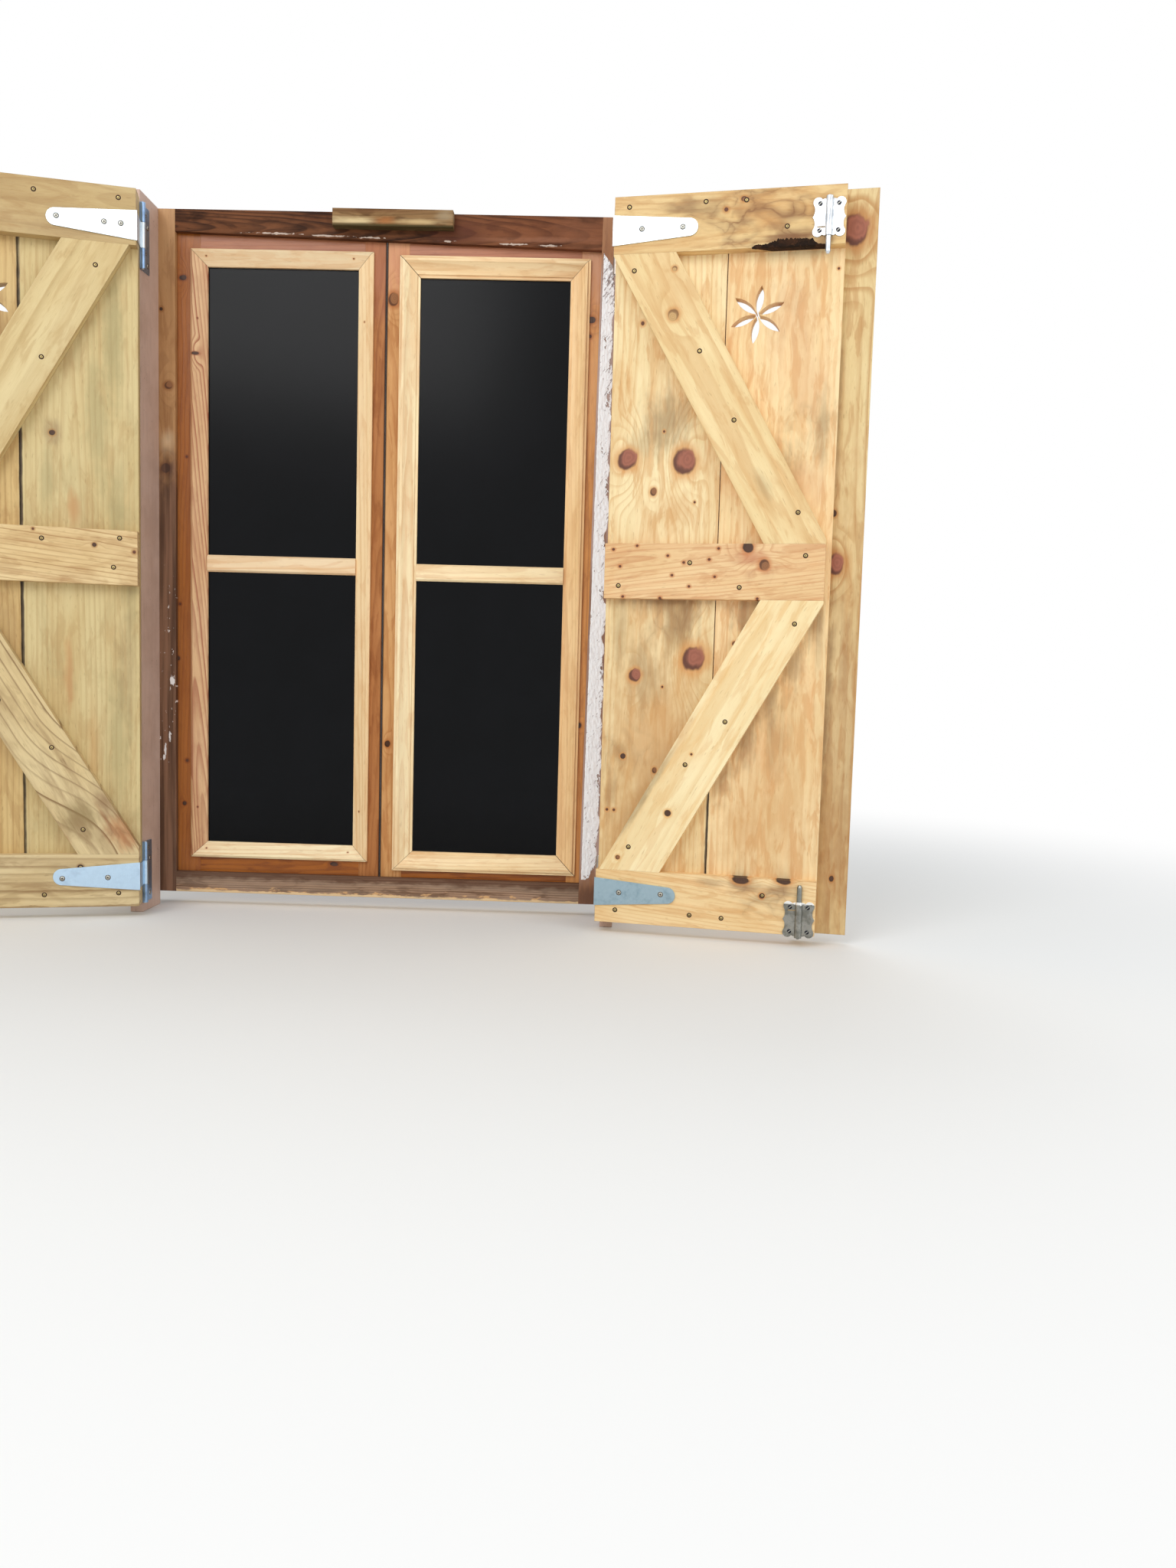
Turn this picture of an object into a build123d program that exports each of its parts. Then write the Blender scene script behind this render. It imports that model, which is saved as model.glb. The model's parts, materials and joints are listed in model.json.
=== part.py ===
# A pair of ledged and braced board shutters, hung in the reveal of a timber window
# with two inward-opening casements. The shutters stand open.
# X runs to the right seen from outside, Y into the room, Z up, in millimetres.
# The origin is the centre of the window frame's underside.
from build123d import *
from math import atan2, cos, degrees, radians, sin
import os

LEFT = -1
RIGHT = 1
SIDE_NAMES = {LEFT: "left", RIGHT: "right"}

# Window frame
frame_height = 1211.0
frame_depth = 50.0
reveal_depth = 80.0            # from the frame's face out to the shutters' hinge pins
lining_thickness = 22.0
lining_drop = 24.0             # the linings run on below the frame's underside
stop_depth = 10.0              # the frame's outer edge, which the casements close against
stop_lap = 8.0                 # width of that edge, past the rebate
jamb_margin_left = 29.7        # of the jamb, seen inside the lining
jamb_margin_right_top = 30.2   # the right jamb's edge leans in towards the sill
jamb_margin_right_bottom = 40.7
head_margin_left = 38.0        # of the head, whose lower edge falls to the right
head_margin_right = 56.0
head_body = 30.0
rail_edge = 37.5               # top of the bottom rail's outer edge
rail_body = 29.0
block_length = 210.0
block_height = 29.0
block_projection = 18.0
block_centre = 11.0

# Casements
casement_gap = 2.0             # all round, inside the frame
face_gap = 0.5                 # between a casement's face and the frame's outer edge
meeting_line = -3.0            # where the two casements meet
meeting_gap = 2.0              # between them at the face
meeting_splay = 1.4            # each meeting edge falls back towards the room
hinge_stile_width = {LEFT: 47.5, RIGHT: 41.0}
meeting_stile_width = {LEFT: 37.5, RIGHT: 39.0}
sash_top_rail = {LEFT: 48.5, RIGHT: 53.0}
sash_bottom_rail = {LEFT: 49.5, RIGHT: 35.5}
glass_rebate = 8.0             # width of the step that takes the glass
glass_rebate_depth = 12.0
glass_thickness = 4.0
glass_edge_gap = 1.0
bead_width = {LEFT: 28.0, RIGHT: 35.0}
bead_height = {LEFT: 8.0, RIGHT: 9.0}
bead_edge = 5.5                # height of a bead's outer edge
bead_lap = 8.0                 # how far it covers the casement's face
bead_thin = 5.0                # its thickness at the inner edge
bead_step = 5.0                # width of the steps on the right beads
bar_height = 30.0
bar_projection = 1.0           # of the glazing bar, in front of the casement's face
bar_chamfer = 3.0
bar_drop = {LEFT: 6.0, RIGHT: 12.9}       # below the middle of the frame

# Casement hinges, on the room side
butt_leaf_width = 26.0
butt_leaf_height = 76.0
butt_thickness = 2.0
butt_radius = 4.0
butt_pin_radius = 2.0
butt_inset = 170.0             # from the frame's ends to the middle of a hinge

# Turn button on the head, room side
button_reach = 44.0            # pivot to tip
button_width = 18.0
button_thickness = 8.0
button_pin_radius = 3.0
button_pin_length = 16.0
button_rise = 15.0             # pivot above the head's soffit

# Shutters
hinge_spread = 802.0           # between the two lines of hinge pins
open_angle = {LEFT: 14.8, RIGHT: 10.9}    # off the plane of the wall
shutter_drop = 5.0             # below the frame's underside
shutter_headroom = 16.0        # below the frame's top
board_thickness = 20.0
ledge_thickness = 20.0
ledge_height = 91.0
free_edge_gap = {LEFT: 10.3, RIGHT: 24.3}    # from the free edge to the centre line, when closed
middle_ledge_short = 9.0       # the middle ledge stops short of the free edge
middle_ledge_drop = 3.5        # below the middle of the shutter
hinge_board_share = {LEFT: 0.4806, RIGHT: 0.4987}      # of the width of the shutter
board_gap = 1.5
brace_width = 91.0
brace_near = {                 # from the pins to a brace's centre line at its outer ledge
    LEFT: {"upper_brace": 68.0, "lower_brace": 50.3},
    RIGHT: {"upper_brace": 56.0, "lower_brace": 62.0},
}
brace_far = {                  # from the free edge to its centre line at the middle ledge
    LEFT: {"upper_brace": 58.7, "lower_brace": 65.2},
    RIGHT: {"upper_brace": 56.7, "lower_brace": 58.7},
}
star_share = {LEFT: 0.27, RIGHT: 0.27}    # of the free board's width, from its inner edge
star_drop = 189.0              # below the top of the shutter
star_radius = 46.0
star_petals = 6
petal_width = 13.0
petal_root = 1.5
star_eye = 3.5
star_turn = {LEFT: 0.0, RIGHT: -7.0}
strip_width = 92.0
strip_thickness = 20.0
strip_overhang = 50.0          # past the right shutter's free edge
strip_rise = 7.0
strip_fall = 2.0

# Shutter hinges: a strap across the ledge, turned round the hinge edge to the pin
knuckle_radius = 4.7
pin_radius = 2.5
pin_clearance = 0.05
pin_overrun = 1.0
strap_thickness = 2.0
strap_length = 138.0           # from the shutter's hinge edge to the tip
strap_root = 48.0
strap_tip = 28.0
strap_knuckle = 42.0
barrel_length = 108.0
barrel_inset = {               # from the shutter's end to the end of the barrel
    LEFT: {"bottom": -1.5, "top": 5.5},
    RIGHT: {"bottom": -1.5, "top": -0.5},
}
knuckle_gap = 0.4
leaf_width = 36.0

# Bolts on the right shutter
bolt_inset = {"top": 49.5, "bottom": 27.0}   # from the shutter's end to the middle of the case
bolt_edge = 26.7               # from the free edge to the rod
case_width = 52.0
case_height = 60.0
case_plate = 1.6
case_wall = 1.5
case_slot_length = 12.0
case_slot_width = 2.0
rod_radius = 4.3
rod_clearance = 0.25
rod_length = 90.0
rod_overrun = 2.0              # past the case at the locking end
rod_taper = 4.0
rod_tip = 2.0

# Places worked out from the sizes above
frame_front = -frame_depth / 2
frame_back = frame_depth / 2
head_soffit = frame_height - head_body
hinge_x = hinge_spread / 2
hinge_y = frame_front - reveal_depth
reveal_x = hinge_x + knuckle_radius
jamb_x = reveal_x + lining_thickness
stop_back = frame_front + stop_depth
sash_face = stop_back + face_gap
glass_back = sash_face + glass_rebate_depth
glass_front = glass_back - glass_thickness
rebate_x = {
    LEFT: jamb_margin_left - stop_lap - reveal_x,
    RIGHT: reveal_x - jamb_margin_right_top + stop_lap,
}
sash_foot = rail_body + casement_gap
sash_top = head_soffit - casement_gap
hinge_edge = knuckle_radius
boards_back = -knuckle_radius
boards_face = boards_back - board_thickness
ledge_face = boards_face - ledge_thickness
shutter_foot = -shutter_drop
shutter_height = frame_height - shutter_headroom + shutter_drop
free_edge = {side: hinge_x - free_edge_gap[side] for side in (LEFT, RIGHT)}
split = {side: hinge_edge + (free_edge[side] - hinge_edge) * hinge_board_share[side]
         for side in (LEFT, RIGHT)}
bolt_out = free_edge[RIGHT] - bolt_edge
bolt_heights = {"top": shutter_height - bolt_inset["top"], "bottom": bolt_inset["bottom"]}
strap_heights = {side: {"bottom": barrel_inset[side]["bottom"] + barrel_length / 2,
                        "top": shutter_height - barrel_inset[side]["top"] - barrel_length / 2}
                 for side in (LEFT, RIGHT)}
butt_heights = {"lower": butt_inset, "upper": frame_height - butt_inset}
middle_ledge_centre = shutter_height / 2 - middle_ledge_drop
rod_depth = ledge_face - rod_radius - rod_clearance
tunnel_radius = rod_radius + rod_clearance
arch_radius = tunnel_radius + case_wall
button_z = head_soffit + button_rise
butt_y = frame_back + butt_radius

ledge_centres = {
    "bottom_ledge": ledge_height / 2,
    "middle_ledge": middle_ledge_centre,
    "top_ledge": shutter_height - ledge_height / 2,
}
brace_ends = {                 # upper and lower end of each brace
    "upper_brace": (ledge_centres["top_ledge"] - ledge_height / 2, middle_ledge_centre + ledge_height / 2),
    "lower_brace": (middle_ledge_centre - ledge_height / 2, ledge_height),
}

os.makedirs("parts", exist_ok=True)


def finish(piece, node):
    """Name one finished piece and write its STEP file."""
    piece.part.label = node
    export_step(piece.part, f"parts/{node}.step")


def facade(y):
    """A plane facing outside, at depth y."""
    return Plane.XZ.offset(-y)


def outline(*points):
    """A flat shape between straight edges."""
    with BuildSketch() as shape:
        with BuildLine():
            Polyline(*points, close=True)
        make_face()
    return shape.sketch


def box_outline(x0, x1, z0, z1):
    return outline((x0, z0), (x1, z0), (x1, z1), (x0, z1))


# Directions and places on an open shutter
def out_direction(side):
    """From the hinge pins to the free edge."""
    angle = radians(open_angle[side])
    return Vector(side * cos(angle), -sin(angle), 0)


def face_direction(side):
    """Square off the face that carries the ledges."""
    angle = radians(open_angle[side])
    return Vector(-side * sin(angle), -cos(angle), 0)


def shutter_point(side, out, depth):
    """A point in plan; depth grows from the ledges towards the back."""
    return Vector(side * hinge_x, hinge_y, 0) + out_direction(side) * out - face_direction(side) * depth


def shutter_plane(side, depth):
    """Upright plane along a shutter: x from the pins outwards, y up from its foot."""
    foot = shutter_point(side, 0, depth) + Vector(0, 0, shutter_foot)
    return Plane(origin=foot, x_dir=out_direction(side), z_dir=face_direction(side) * side)


def plan_outline(side, places):
    """A flat shape in plan, from distances out and depths on a shutter."""
    corners = [shutter_point(side, out, depth) for out, depth in places]
    return outline(*[(corner.X, corner.Y) for corner in corners])


# Window frame
def sight_x(side, height):
    """The visible edge of a jamb at one height."""
    if side == LEFT:
        return jamb_margin_left - reveal_x
    lean = (jamb_margin_right_bottom - jamb_margin_right_top) * (1 - height / frame_height)
    return reveal_x - jamb_margin_right_top - lean


def make_jamb(side):
    with BuildPart() as jamb:
        with BuildSketch(facade(frame_back)):
            add(box_outline(rebate_x[side], side * jamb_x, 0, frame_height))
        extrude(amount=frame_depth - stop_depth)
        with BuildSketch(facade(stop_back)):
            add(outline((sight_x(side, 0), 0), (side * jamb_x, 0), (side * jamb_x, frame_height),
                        (sight_x(side, frame_height), frame_height)))
        extrude(amount=stop_depth)
    finish(jamb, f"frame_jamb_{SIDE_NAMES[side]}")


def make_head():
    low_left = frame_height - head_margin_left
    low_right = frame_height - head_margin_right
    with BuildPart() as head:
        with BuildSketch(facade(frame_back)):
            add(box_outline(rebate_x[LEFT], rebate_x[RIGHT], head_soffit, frame_height))
        extrude(amount=frame_depth - stop_depth)
        with BuildSketch(facade(stop_back)):
            add(outline((sight_x(LEFT, low_left), low_left), (sight_x(RIGHT, low_right), low_right),
                        (sight_x(RIGHT, frame_height), frame_height),
                        (sight_x(LEFT, frame_height), frame_height)))
        extrude(amount=stop_depth)
        with BuildSketch(facade(frame_back)):
            with Locations((meeting_line, button_z)):
                Circle(button_pin_radius + pin_clearance)
        extrude(amount=button_pin_length + 1, mode=Mode.SUBTRACT)
    finish(head, "frame_head")


def make_bottom_rail():
    with BuildPart() as rail:
        with BuildSketch(facade(frame_back)):
            add(box_outline(rebate_x[LEFT], rebate_x[RIGHT], 0, rail_body))
        extrude(amount=frame_depth - stop_depth)
        with BuildSketch(facade(stop_back)):
            add(outline((sight_x(LEFT, 0), 0), (sight_x(RIGHT, 0), 0),
                        (sight_x(RIGHT, rail_edge), rail_edge), (sight_x(LEFT, rail_edge), rail_edge)))
        extrude(amount=stop_depth)
    finish(rail, "frame_bottom_rail")


def make_head_block():
    with BuildPart() as block:
        with BuildSketch(facade(frame_front)):
            with Locations((block_centre, frame_height - block_height / 2)):
                Rectangle(block_length, block_height)
        extrude(amount=block_projection)
    finish(block, "head_block")


def make_lining(side):
    with BuildPart() as lining:
        with BuildSketch(Plane.XY.offset(-lining_drop)):
            with Locations((side * (reveal_x + lining_thickness / 2), hinge_y + reveal_depth / 2)):
                Rectangle(lining_thickness, reveal_depth)
        extrude(amount=frame_height + lining_drop)
    finish(lining, f"lining_{SIDE_NAMES[side]}")


# Shutter woodwork
def ledge_end(side, ledge):
    """Distance from the pins to the free end of a ledge."""
    if ledge == "middle_ledge":
        return free_edge[side] - middle_ledge_short
    return free_edge[side]


def make_ledge(side, ledge):
    middle = ledge_centres[ledge]
    with BuildPart() as piece:
        with BuildSketch(shutter_plane(side, boards_face)):
            add(box_outline(hinge_edge, ledge_end(side, ledge),
                            middle - ledge_height / 2, middle + ledge_height / 2))
        extrude(amount=ledge_thickness, dir=face_direction(side))
    finish(piece, f"{SIDE_NAMES[side]}_{ledge}")


def make_brace(side, brace):
    near = brace_near[side][brace]
    far = free_edge[side] - brace_far[side][brace]
    top_out, foot_out = (near, far) if brace == "upper_brace" else (far, near)
    top_up, foot_up = brace_ends[brace]
    rise = top_up - foot_up
    lean = degrees(atan2(rise, top_out - foot_out))
    with BuildPart() as piece:
        with BuildSketch(shutter_plane(side, boards_face)):
            with Locations(Location(((top_out + foot_out) / 2, (top_up + foot_up) / 2, 0), (0, 0, lean))):
                Rectangle(2 * rise, brace_width)
            add(box_outline(hinge_edge, ledge_end(side, "middle_ledge"), foot_up, top_up),
                mode=Mode.INTERSECT)
        extrude(amount=ledge_thickness, dir=face_direction(side))
    finish(piece, f"{SIDE_NAMES[side]}_{brace}")


def make_hinge_board(side):
    with BuildPart() as board:
        with BuildSketch(shutter_plane(side, boards_back)):
            add(box_outline(hinge_edge, split[side], 0, shutter_height))
        extrude(amount=board_thickness, dir=face_direction(side))
    finish(board, f"{SIDE_NAMES[side]}_hinge_board")


def petal_outline():
    """One leaf-shaped petal of the star, between two arcs."""
    middle = (petal_root + star_radius) / 2
    with BuildSketch() as petal:
        with BuildLine():
            ThreePointArc((petal_root, 0), (middle, petal_width / 2), (star_radius, 0))
            ThreePointArc((star_radius, 0), (middle, -petal_width / 2), (petal_root, 0))
        make_face()
    return petal.sketch


def make_free_board(side):
    inner_edge = split[side] + board_gap
    star_out = inner_edge + (free_edge[side] - inner_edge) * star_share[side]
    with BuildPart() as board:
        with BuildSketch(shutter_plane(side, boards_back)):
            add(box_outline(inner_edge, free_edge[side], 0, shutter_height))
            with Locations((star_out, shutter_height - star_drop)):
                Circle(star_eye, mode=Mode.SUBTRACT)
                with PolarLocations(0, star_petals, start_angle=90 + star_turn[side]):
                    add(petal_outline(), mode=Mode.SUBTRACT)
        extrude(amount=board_thickness, dir=face_direction(side))
    finish(board, f"{SIDE_NAMES[side]}_free_board")


def make_cover_strip():
    end = free_edge[RIGHT] + strip_overhang
    with BuildPart() as strip:
        with BuildSketch(shutter_plane(RIGHT, boards_back + strip_thickness)):
            add(box_outline(end - strip_width, end, -strip_fall, shutter_height + strip_rise))
        extrude(amount=strip_thickness, dir=face_direction(RIGHT))
    finish(strip, "right_cover_strip")


# Shutter hinges
def make_strap(side, name):
    height = strap_heights[side][name]
    root = strap_root / 2
    tip = strap_tip / 2
    wrap_x = hinge_edge - strap_thickness
    tip_x = hinge_edge + strap_length - tip
    knuckle_foot = shutter_foot + height - strap_knuckle / 2
    with BuildPart() as strap:
        with BuildSketch(shutter_plane(side, ledge_face)):
            with Locations((0, height)):
                add(outline((wrap_x, -root), (hinge_edge, -root), (tip_x, -tip), (tip_x, tip),
                            (hinge_edge, root), (wrap_x, root)))
            with Locations((tip_x, height)):
                Circle(tip)
        extrude(amount=strap_thickness, dir=face_direction(side))
        with BuildSketch(Plane.XY.offset(knuckle_foot)):
            add(plan_outline(side, [(wrap_x, 0), (hinge_edge, 0), (hinge_edge, ledge_face),
                                    (wrap_x, ledge_face)]))
            with Locations((side * hinge_x, hinge_y)):
                Circle(knuckle_radius)
                Circle(pin_radius + pin_clearance, mode=Mode.SUBTRACT)
        extrude(amount=strap_knuckle)
    finish(strap, f"{SIDE_NAMES[side]}_{name}_strap")


def make_hinge_leaves(side):
    """The two leaves on one lining, each with a knuckle above and below the strap's."""
    notch = strap_knuckle + 2 * knuckle_gap
    reach = 2 * (knuckle_radius + knuckle_gap)
    with BuildPart() as leaves:
        for height in strap_heights[side].values():
            middle = shutter_foot + height
            with BuildSketch(Plane.XY.offset(middle - barrel_length / 2)):
                with Locations((side * (reveal_x - strap_thickness / 2), hinge_y + leaf_width / 2)):
                    Rectangle(strap_thickness, leaf_width)
                with Locations((side * hinge_x, hinge_y)):
                    Circle(knuckle_radius)
                    Circle(pin_radius, mode=Mode.SUBTRACT)
            extrude(amount=barrel_length)
            with BuildSketch(Plane.XY.offset(middle - notch / 2)):
                with Locations((side * hinge_x, hinge_y)):
                    Rectangle(reach, reach)
            extrude(amount=notch, mode=Mode.SUBTRACT)
    finish(leaves, f"{SIDE_NAMES[side]}_hinge_leaves")


def make_hinge_pins():
    with BuildPart() as pins:
        for side in (LEFT, RIGHT):
            for height in strap_heights[side].values():
                foot = shutter_foot + height - barrel_length / 2 - pin_overrun
                with BuildSketch(Plane.XY.offset(foot)):
                    with Locations((side * hinge_x, hinge_y)):
                        Circle(pin_radius)
                extrude(amount=barrel_length + 2 * pin_overrun)
    finish(pins, "shutter_hinge_pins")


# Bolts
def case_outline():
    """A cast plate with lobed corners and a point halfway up each side."""
    half_w = case_width / 2
    half_h = case_height / 2
    with BuildSketch() as plate:
        with BuildLine():
            ThreePointArc((0, half_h * 0.93), (half_w * 0.2, half_h * 0.95), (half_w * 0.42, half_h * 0.89))
            ThreePointArc((half_w * 0.42, half_h * 0.89), (half_w * 0.74, half_h),
                          (half_w * 0.95, half_h * 0.63))
            ThreePointArc((half_w * 0.95, half_h * 0.63), (half_w * 0.86, half_h * 0.3), (half_w, 0))
            mirror(about=Plane.XZ)
            mirror(about=Plane.YZ)
        make_face()
    return plate.sketch


def arch_outline(radius, base_depth):
    """Plan of the rod's tunnel: round in front, with straight sides back to the ledge."""
    place = shutter_point(RIGHT, bolt_out, rod_depth)
    low_out = bolt_out - radius
    high_out = bolt_out + radius
    front = rod_depth - radius
    with BuildSketch() as arch:
        with Locations((place.X, place.Y)):
            Circle(radius)
        add(plan_outline(RIGHT, [(low_out, rod_depth), (high_out, rod_depth),
                                 (high_out, base_depth), (low_out, base_depth)]))
        add(plan_outline(RIGHT, [(low_out, front), (high_out, front),
                                 (high_out, base_depth), (low_out, base_depth)]), mode=Mode.INTERSECT)
    return arch.sketch


def make_bolt_case(end):
    height = bolt_heights[end]
    inward = -1 if end == "top" else 1
    foot = shutter_foot + height - case_height / 2
    with BuildPart() as case:
        with BuildSketch(shutter_plane(RIGHT, ledge_face)):
            with Locations((bolt_out, height)):
                add(case_outline())
            with Locations((bolt_out - arch_radius - case_slot_length / 2,
                            height + inward * case_height / 4)):
                Rectangle(case_slot_length, case_slot_width, mode=Mode.SUBTRACT)
        extrude(amount=case_plate, dir=face_direction(RIGHT))
        with BuildSketch(Plane.XY.offset(foot)):
            add(arch_outline(arch_radius, ledge_face))
        extrude(amount=case_height)
        with BuildSketch(Plane.XY.offset(foot)):
            add(arch_outline(tunnel_radius, ledge_face + 1))
        extrude(amount=case_height, mode=Mode.SUBTRACT)
    finish(case, f"{end}_bolt_case")


def make_bolt_rod(end):
    middle = shutter_foot + bolt_heights[end]
    reach = case_height / 2 + rod_overrun
    foot = middle + reach - rod_length if end == "top" else middle - reach
    place = shutter_point(RIGHT, bolt_out, rod_depth)
    with BuildPart() as rod:
        with BuildSketch(Plane.XY.offset(foot)):
            with Locations((place.X, place.Y)):
                Circle(rod_radius)
        extrude(amount=rod_length)
        chamfer(rod.edges().filter_by(GeomType.CIRCLE), length=rod_taper, length2=rod_tip)
    finish(rod, f"{end}_bolt_rod")


# Casements
def sash_edges(side):
    """A casement's hinge edge, then its meeting edge at the face."""
    return rebate_x[side] - side * casement_gap, meeting_line + side * meeting_gap / 2


def daylight(side):
    """The opening inside the four members: x at the hinge and meeting sides, low, high."""
    hinge_side, meeting_side = sash_edges(side)
    return (hinge_side - side * hinge_stile_width[side],
            meeting_side + side * meeting_stile_width[side],
            sash_foot + sash_bottom_rail[side],
            sash_top - sash_top_rail[side])


def daylight_outline(side, margin):
    """The daylight opening, widened all round."""
    x_hinge, x_meeting, low, high = daylight(side)
    return box_outline(x_hinge + side * margin, x_meeting - side * margin, low - margin, high + margin)


def make_stile(side, stile):
    hinge_side, meeting_side = sash_edges(side)
    x_hinge, x_meeting, low, high = daylight(side)
    sections = {
        "hinge_stile": outline((hinge_side, sash_face), (x_hinge, sash_face),
                               (x_hinge, frame_back), (hinge_side, frame_back)),
        "meeting_stile": outline((meeting_side, sash_face), (x_meeting, sash_face),
                                 (x_meeting, frame_back),
                                 (meeting_side + side * meeting_splay, frame_back)),
    }
    with BuildPart() as piece:
        with BuildSketch(Plane.XY.offset(sash_foot)):
            add(sections[stile])
        extrude(amount=sash_top - sash_foot)
        with BuildSketch(facade(glass_back)):
            add(daylight_outline(side, glass_rebate))
        extrude(amount=glass_rebate_depth, mode=Mode.SUBTRACT)
    finish(piece, f"{SIDE_NAMES[side]}_{stile}")


def make_sash_rail(side, rail):
    x_hinge, x_meeting, low, high = daylight(side)
    heights = {"top_rail": (high, sash_top), "bottom_rail": (sash_foot, low)}
    with BuildPart() as piece:
        with BuildSketch(facade(frame_back)):
            add(box_outline(x_hinge, x_meeting, *heights[rail]))
        extrude(amount=frame_back - sash_face)
        with BuildSketch(facade(glass_back)):
            add(daylight_outline(side, glass_rebate))
        extrude(amount=glass_rebate_depth, mode=Mode.SUBTRACT)
    finish(piece, f"{SIDE_NAMES[side]}_sash_{rail}")


def make_glass(side):
    with BuildPart() as glass:
        with BuildSketch(facade(glass_back)):
            add(daylight_outline(side, glass_rebate - glass_edge_gap))
        extrude(amount=glass_thickness)
    finish(glass, f"{SIDE_NAMES[side]}_glass")


def bead_ring(side):
    """Outer edges of the beads round the glass: x left, x right, low, high."""
    x_hinge, x_meeting, low, high = daylight(side)
    margin = glass_rebate + bead_lap
    x_left, x_right = sorted((x_hinge, x_meeting))
    return x_left - margin, x_right + margin, low - margin, high + margin


def bead_section(side):
    """Section of a bead: distance in from its outer edge, then distance in front of the glass."""
    face = sash_face - glass_front
    crest = bead_height[side] - face
    edge = bead_edge - face
    width = bead_width[side]
    flat = bead_lap * 0.5
    with BuildSketch() as section:
        with BuildLine():
            if side == LEFT:
                Polyline((bead_lap, 0), (bead_lap, -face), (0, -face), (0, edge), (flat, crest),
                         (width, bead_thin))
            else:
                Polyline((bead_lap, 0), (bead_lap, -face), (0, -face), (0, edge), (bead_step, edge),
                         (bead_step, crest), (bead_step + flat, crest))
                ThreePointArc((bead_step + flat, crest), (width * 0.47, crest * 0.69),
                              (width - bead_step, bead_thin + 2))
                Polyline((width - bead_step, bead_thin + 2), (width - bead_step, bead_thin),
                         (width, bead_thin))
            Polyline((width, bead_thin), (width, 0), (bead_lap, 0))
        make_face()
    return section.sketch


def make_upright_bead(side, bead):
    x_left, x_right, low, high = bead_ring(side)
    at_left = (bead == "hinge_bead") == (side == LEFT)
    start = x_left if at_left else x_right
    inward = 1 if at_left else -1
    width = bead_width[side]
    with BuildPart() as piece:
        with BuildSketch(Plane(origin=(start, glass_front, low), x_dir=(inward, 0, 0),
                               z_dir=(0, 0, -inward))):
            add(bead_section(side))
        extrude(amount=high - low, dir=(0, 0, 1))
        with BuildSketch(facade(frame_back)):
            add(outline((start, low), (start + inward * width, low + width),
                        (start + inward * width, high - width), (start, high)))
        extrude(amount=2 * frame_depth, mode=Mode.INTERSECT)
    finish(piece, f"{SIDE_NAMES[side]}_{bead}")


def make_level_bead(side, bead):
    x_left, x_right, low, high = bead_ring(side)
    start = low if bead == "bottom_bead" else high
    inward = 1 if bead == "bottom_bead" else -1
    width = bead_width[side]
    with BuildPart() as piece:
        with BuildSketch(Plane(origin=(x_left, glass_front, start), x_dir=(0, 0, inward),
                               z_dir=(inward, 0, 0))):
            add(bead_section(side))
        extrude(amount=x_right - x_left, dir=(1, 0, 0))
        with BuildSketch(facade(frame_back)):
            add(outline((x_left, start), (x_left + width, start + inward * width),
                        (x_right - width, start + inward * width), (x_right, start)))
        extrude(amount=2 * frame_depth, mode=Mode.INTERSECT)
    finish(piece, f"{SIDE_NAMES[side]}_{bead}")


def make_glazing_bar(side):
    x_left, x_right, low, high = bead_ring(side)
    front = sash_face - bar_projection
    half = bar_height / 2
    middle = frame_height / 2 - bar_drop[side]
    with BuildPart() as bar:
        with BuildSketch(Plane.YZ.offset(x_left + bead_width[side])):
            with Locations((0, middle)):
                add(outline((glass_front, -half), (front + bar_chamfer, -half),
                            (front, bar_chamfer - half), (front, half - bar_chamfer),
                            (front + bar_chamfer, half), (glass_front, half)))
        extrude(amount=x_right - x_left - 2 * bead_width[side])
    finish(bar, f"{SIDE_NAMES[side]}_glazing_bar")


# Casement hinges
def butt_x(side):
    return rebate_x[side] - side * casement_gap / 2


def make_sash_hinge_leaves(side):
    """The leaves on one casement, each with a single knuckle in the middle."""
    knuckle = butt_leaf_height / 3
    reach = 2 * (butt_radius + knuckle_gap)
    with BuildPart() as leaves:
        for middle in butt_heights.values():
            with BuildSketch(Plane.XY.offset(middle - butt_leaf_height / 2)):
                with Locations((butt_x(side) - side * butt_leaf_width / 2, frame_back + butt_thickness / 2)):
                    Rectangle(butt_leaf_width, butt_thickness)
                with Locations((butt_x(side), butt_y)):
                    Circle(butt_radius)
                    Circle(butt_pin_radius + pin_clearance, mode=Mode.SUBTRACT)
            extrude(amount=butt_leaf_height)
            for start in (-butt_leaf_height / 2, knuckle / 2 - knuckle_gap):
                with BuildSketch(Plane.XY.offset(middle + start)):
                    with Locations((butt_x(side), butt_y)):
                        Rectangle(reach, reach)
                extrude(amount=knuckle + knuckle_gap, mode=Mode.SUBTRACT)
    finish(leaves, f"{SIDE_NAMES[side]}_sash_hinge_leaves")


def make_frame_hinge_leaves():
    """The leaves on the jambs, each with a knuckle at the top and the bottom."""
    notch = butt_leaf_height / 3 + 2 * knuckle_gap
    reach = 2 * (butt_radius + knuckle_gap)
    with BuildPart() as leaves:
        for side in (LEFT, RIGHT):
            for middle in butt_heights.values():
                with BuildSketch(Plane.XY.offset(middle - butt_leaf_height / 2)):
                    with Locations((butt_x(side) + side * butt_leaf_width / 2,
                                    frame_back + butt_thickness / 2)):
                        Rectangle(butt_leaf_width, butt_thickness)
                    with Locations((butt_x(side), butt_y)):
                        Circle(butt_radius)
                        Circle(butt_pin_radius, mode=Mode.SUBTRACT)
                extrude(amount=butt_leaf_height)
                with BuildSketch(Plane.XY.offset(middle - notch / 2)):
                    with Locations((butt_x(side), butt_y)):
                        Rectangle(reach, reach)
                extrude(amount=notch, mode=Mode.SUBTRACT)
    finish(leaves, "frame_hinge_leaves")


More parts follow.
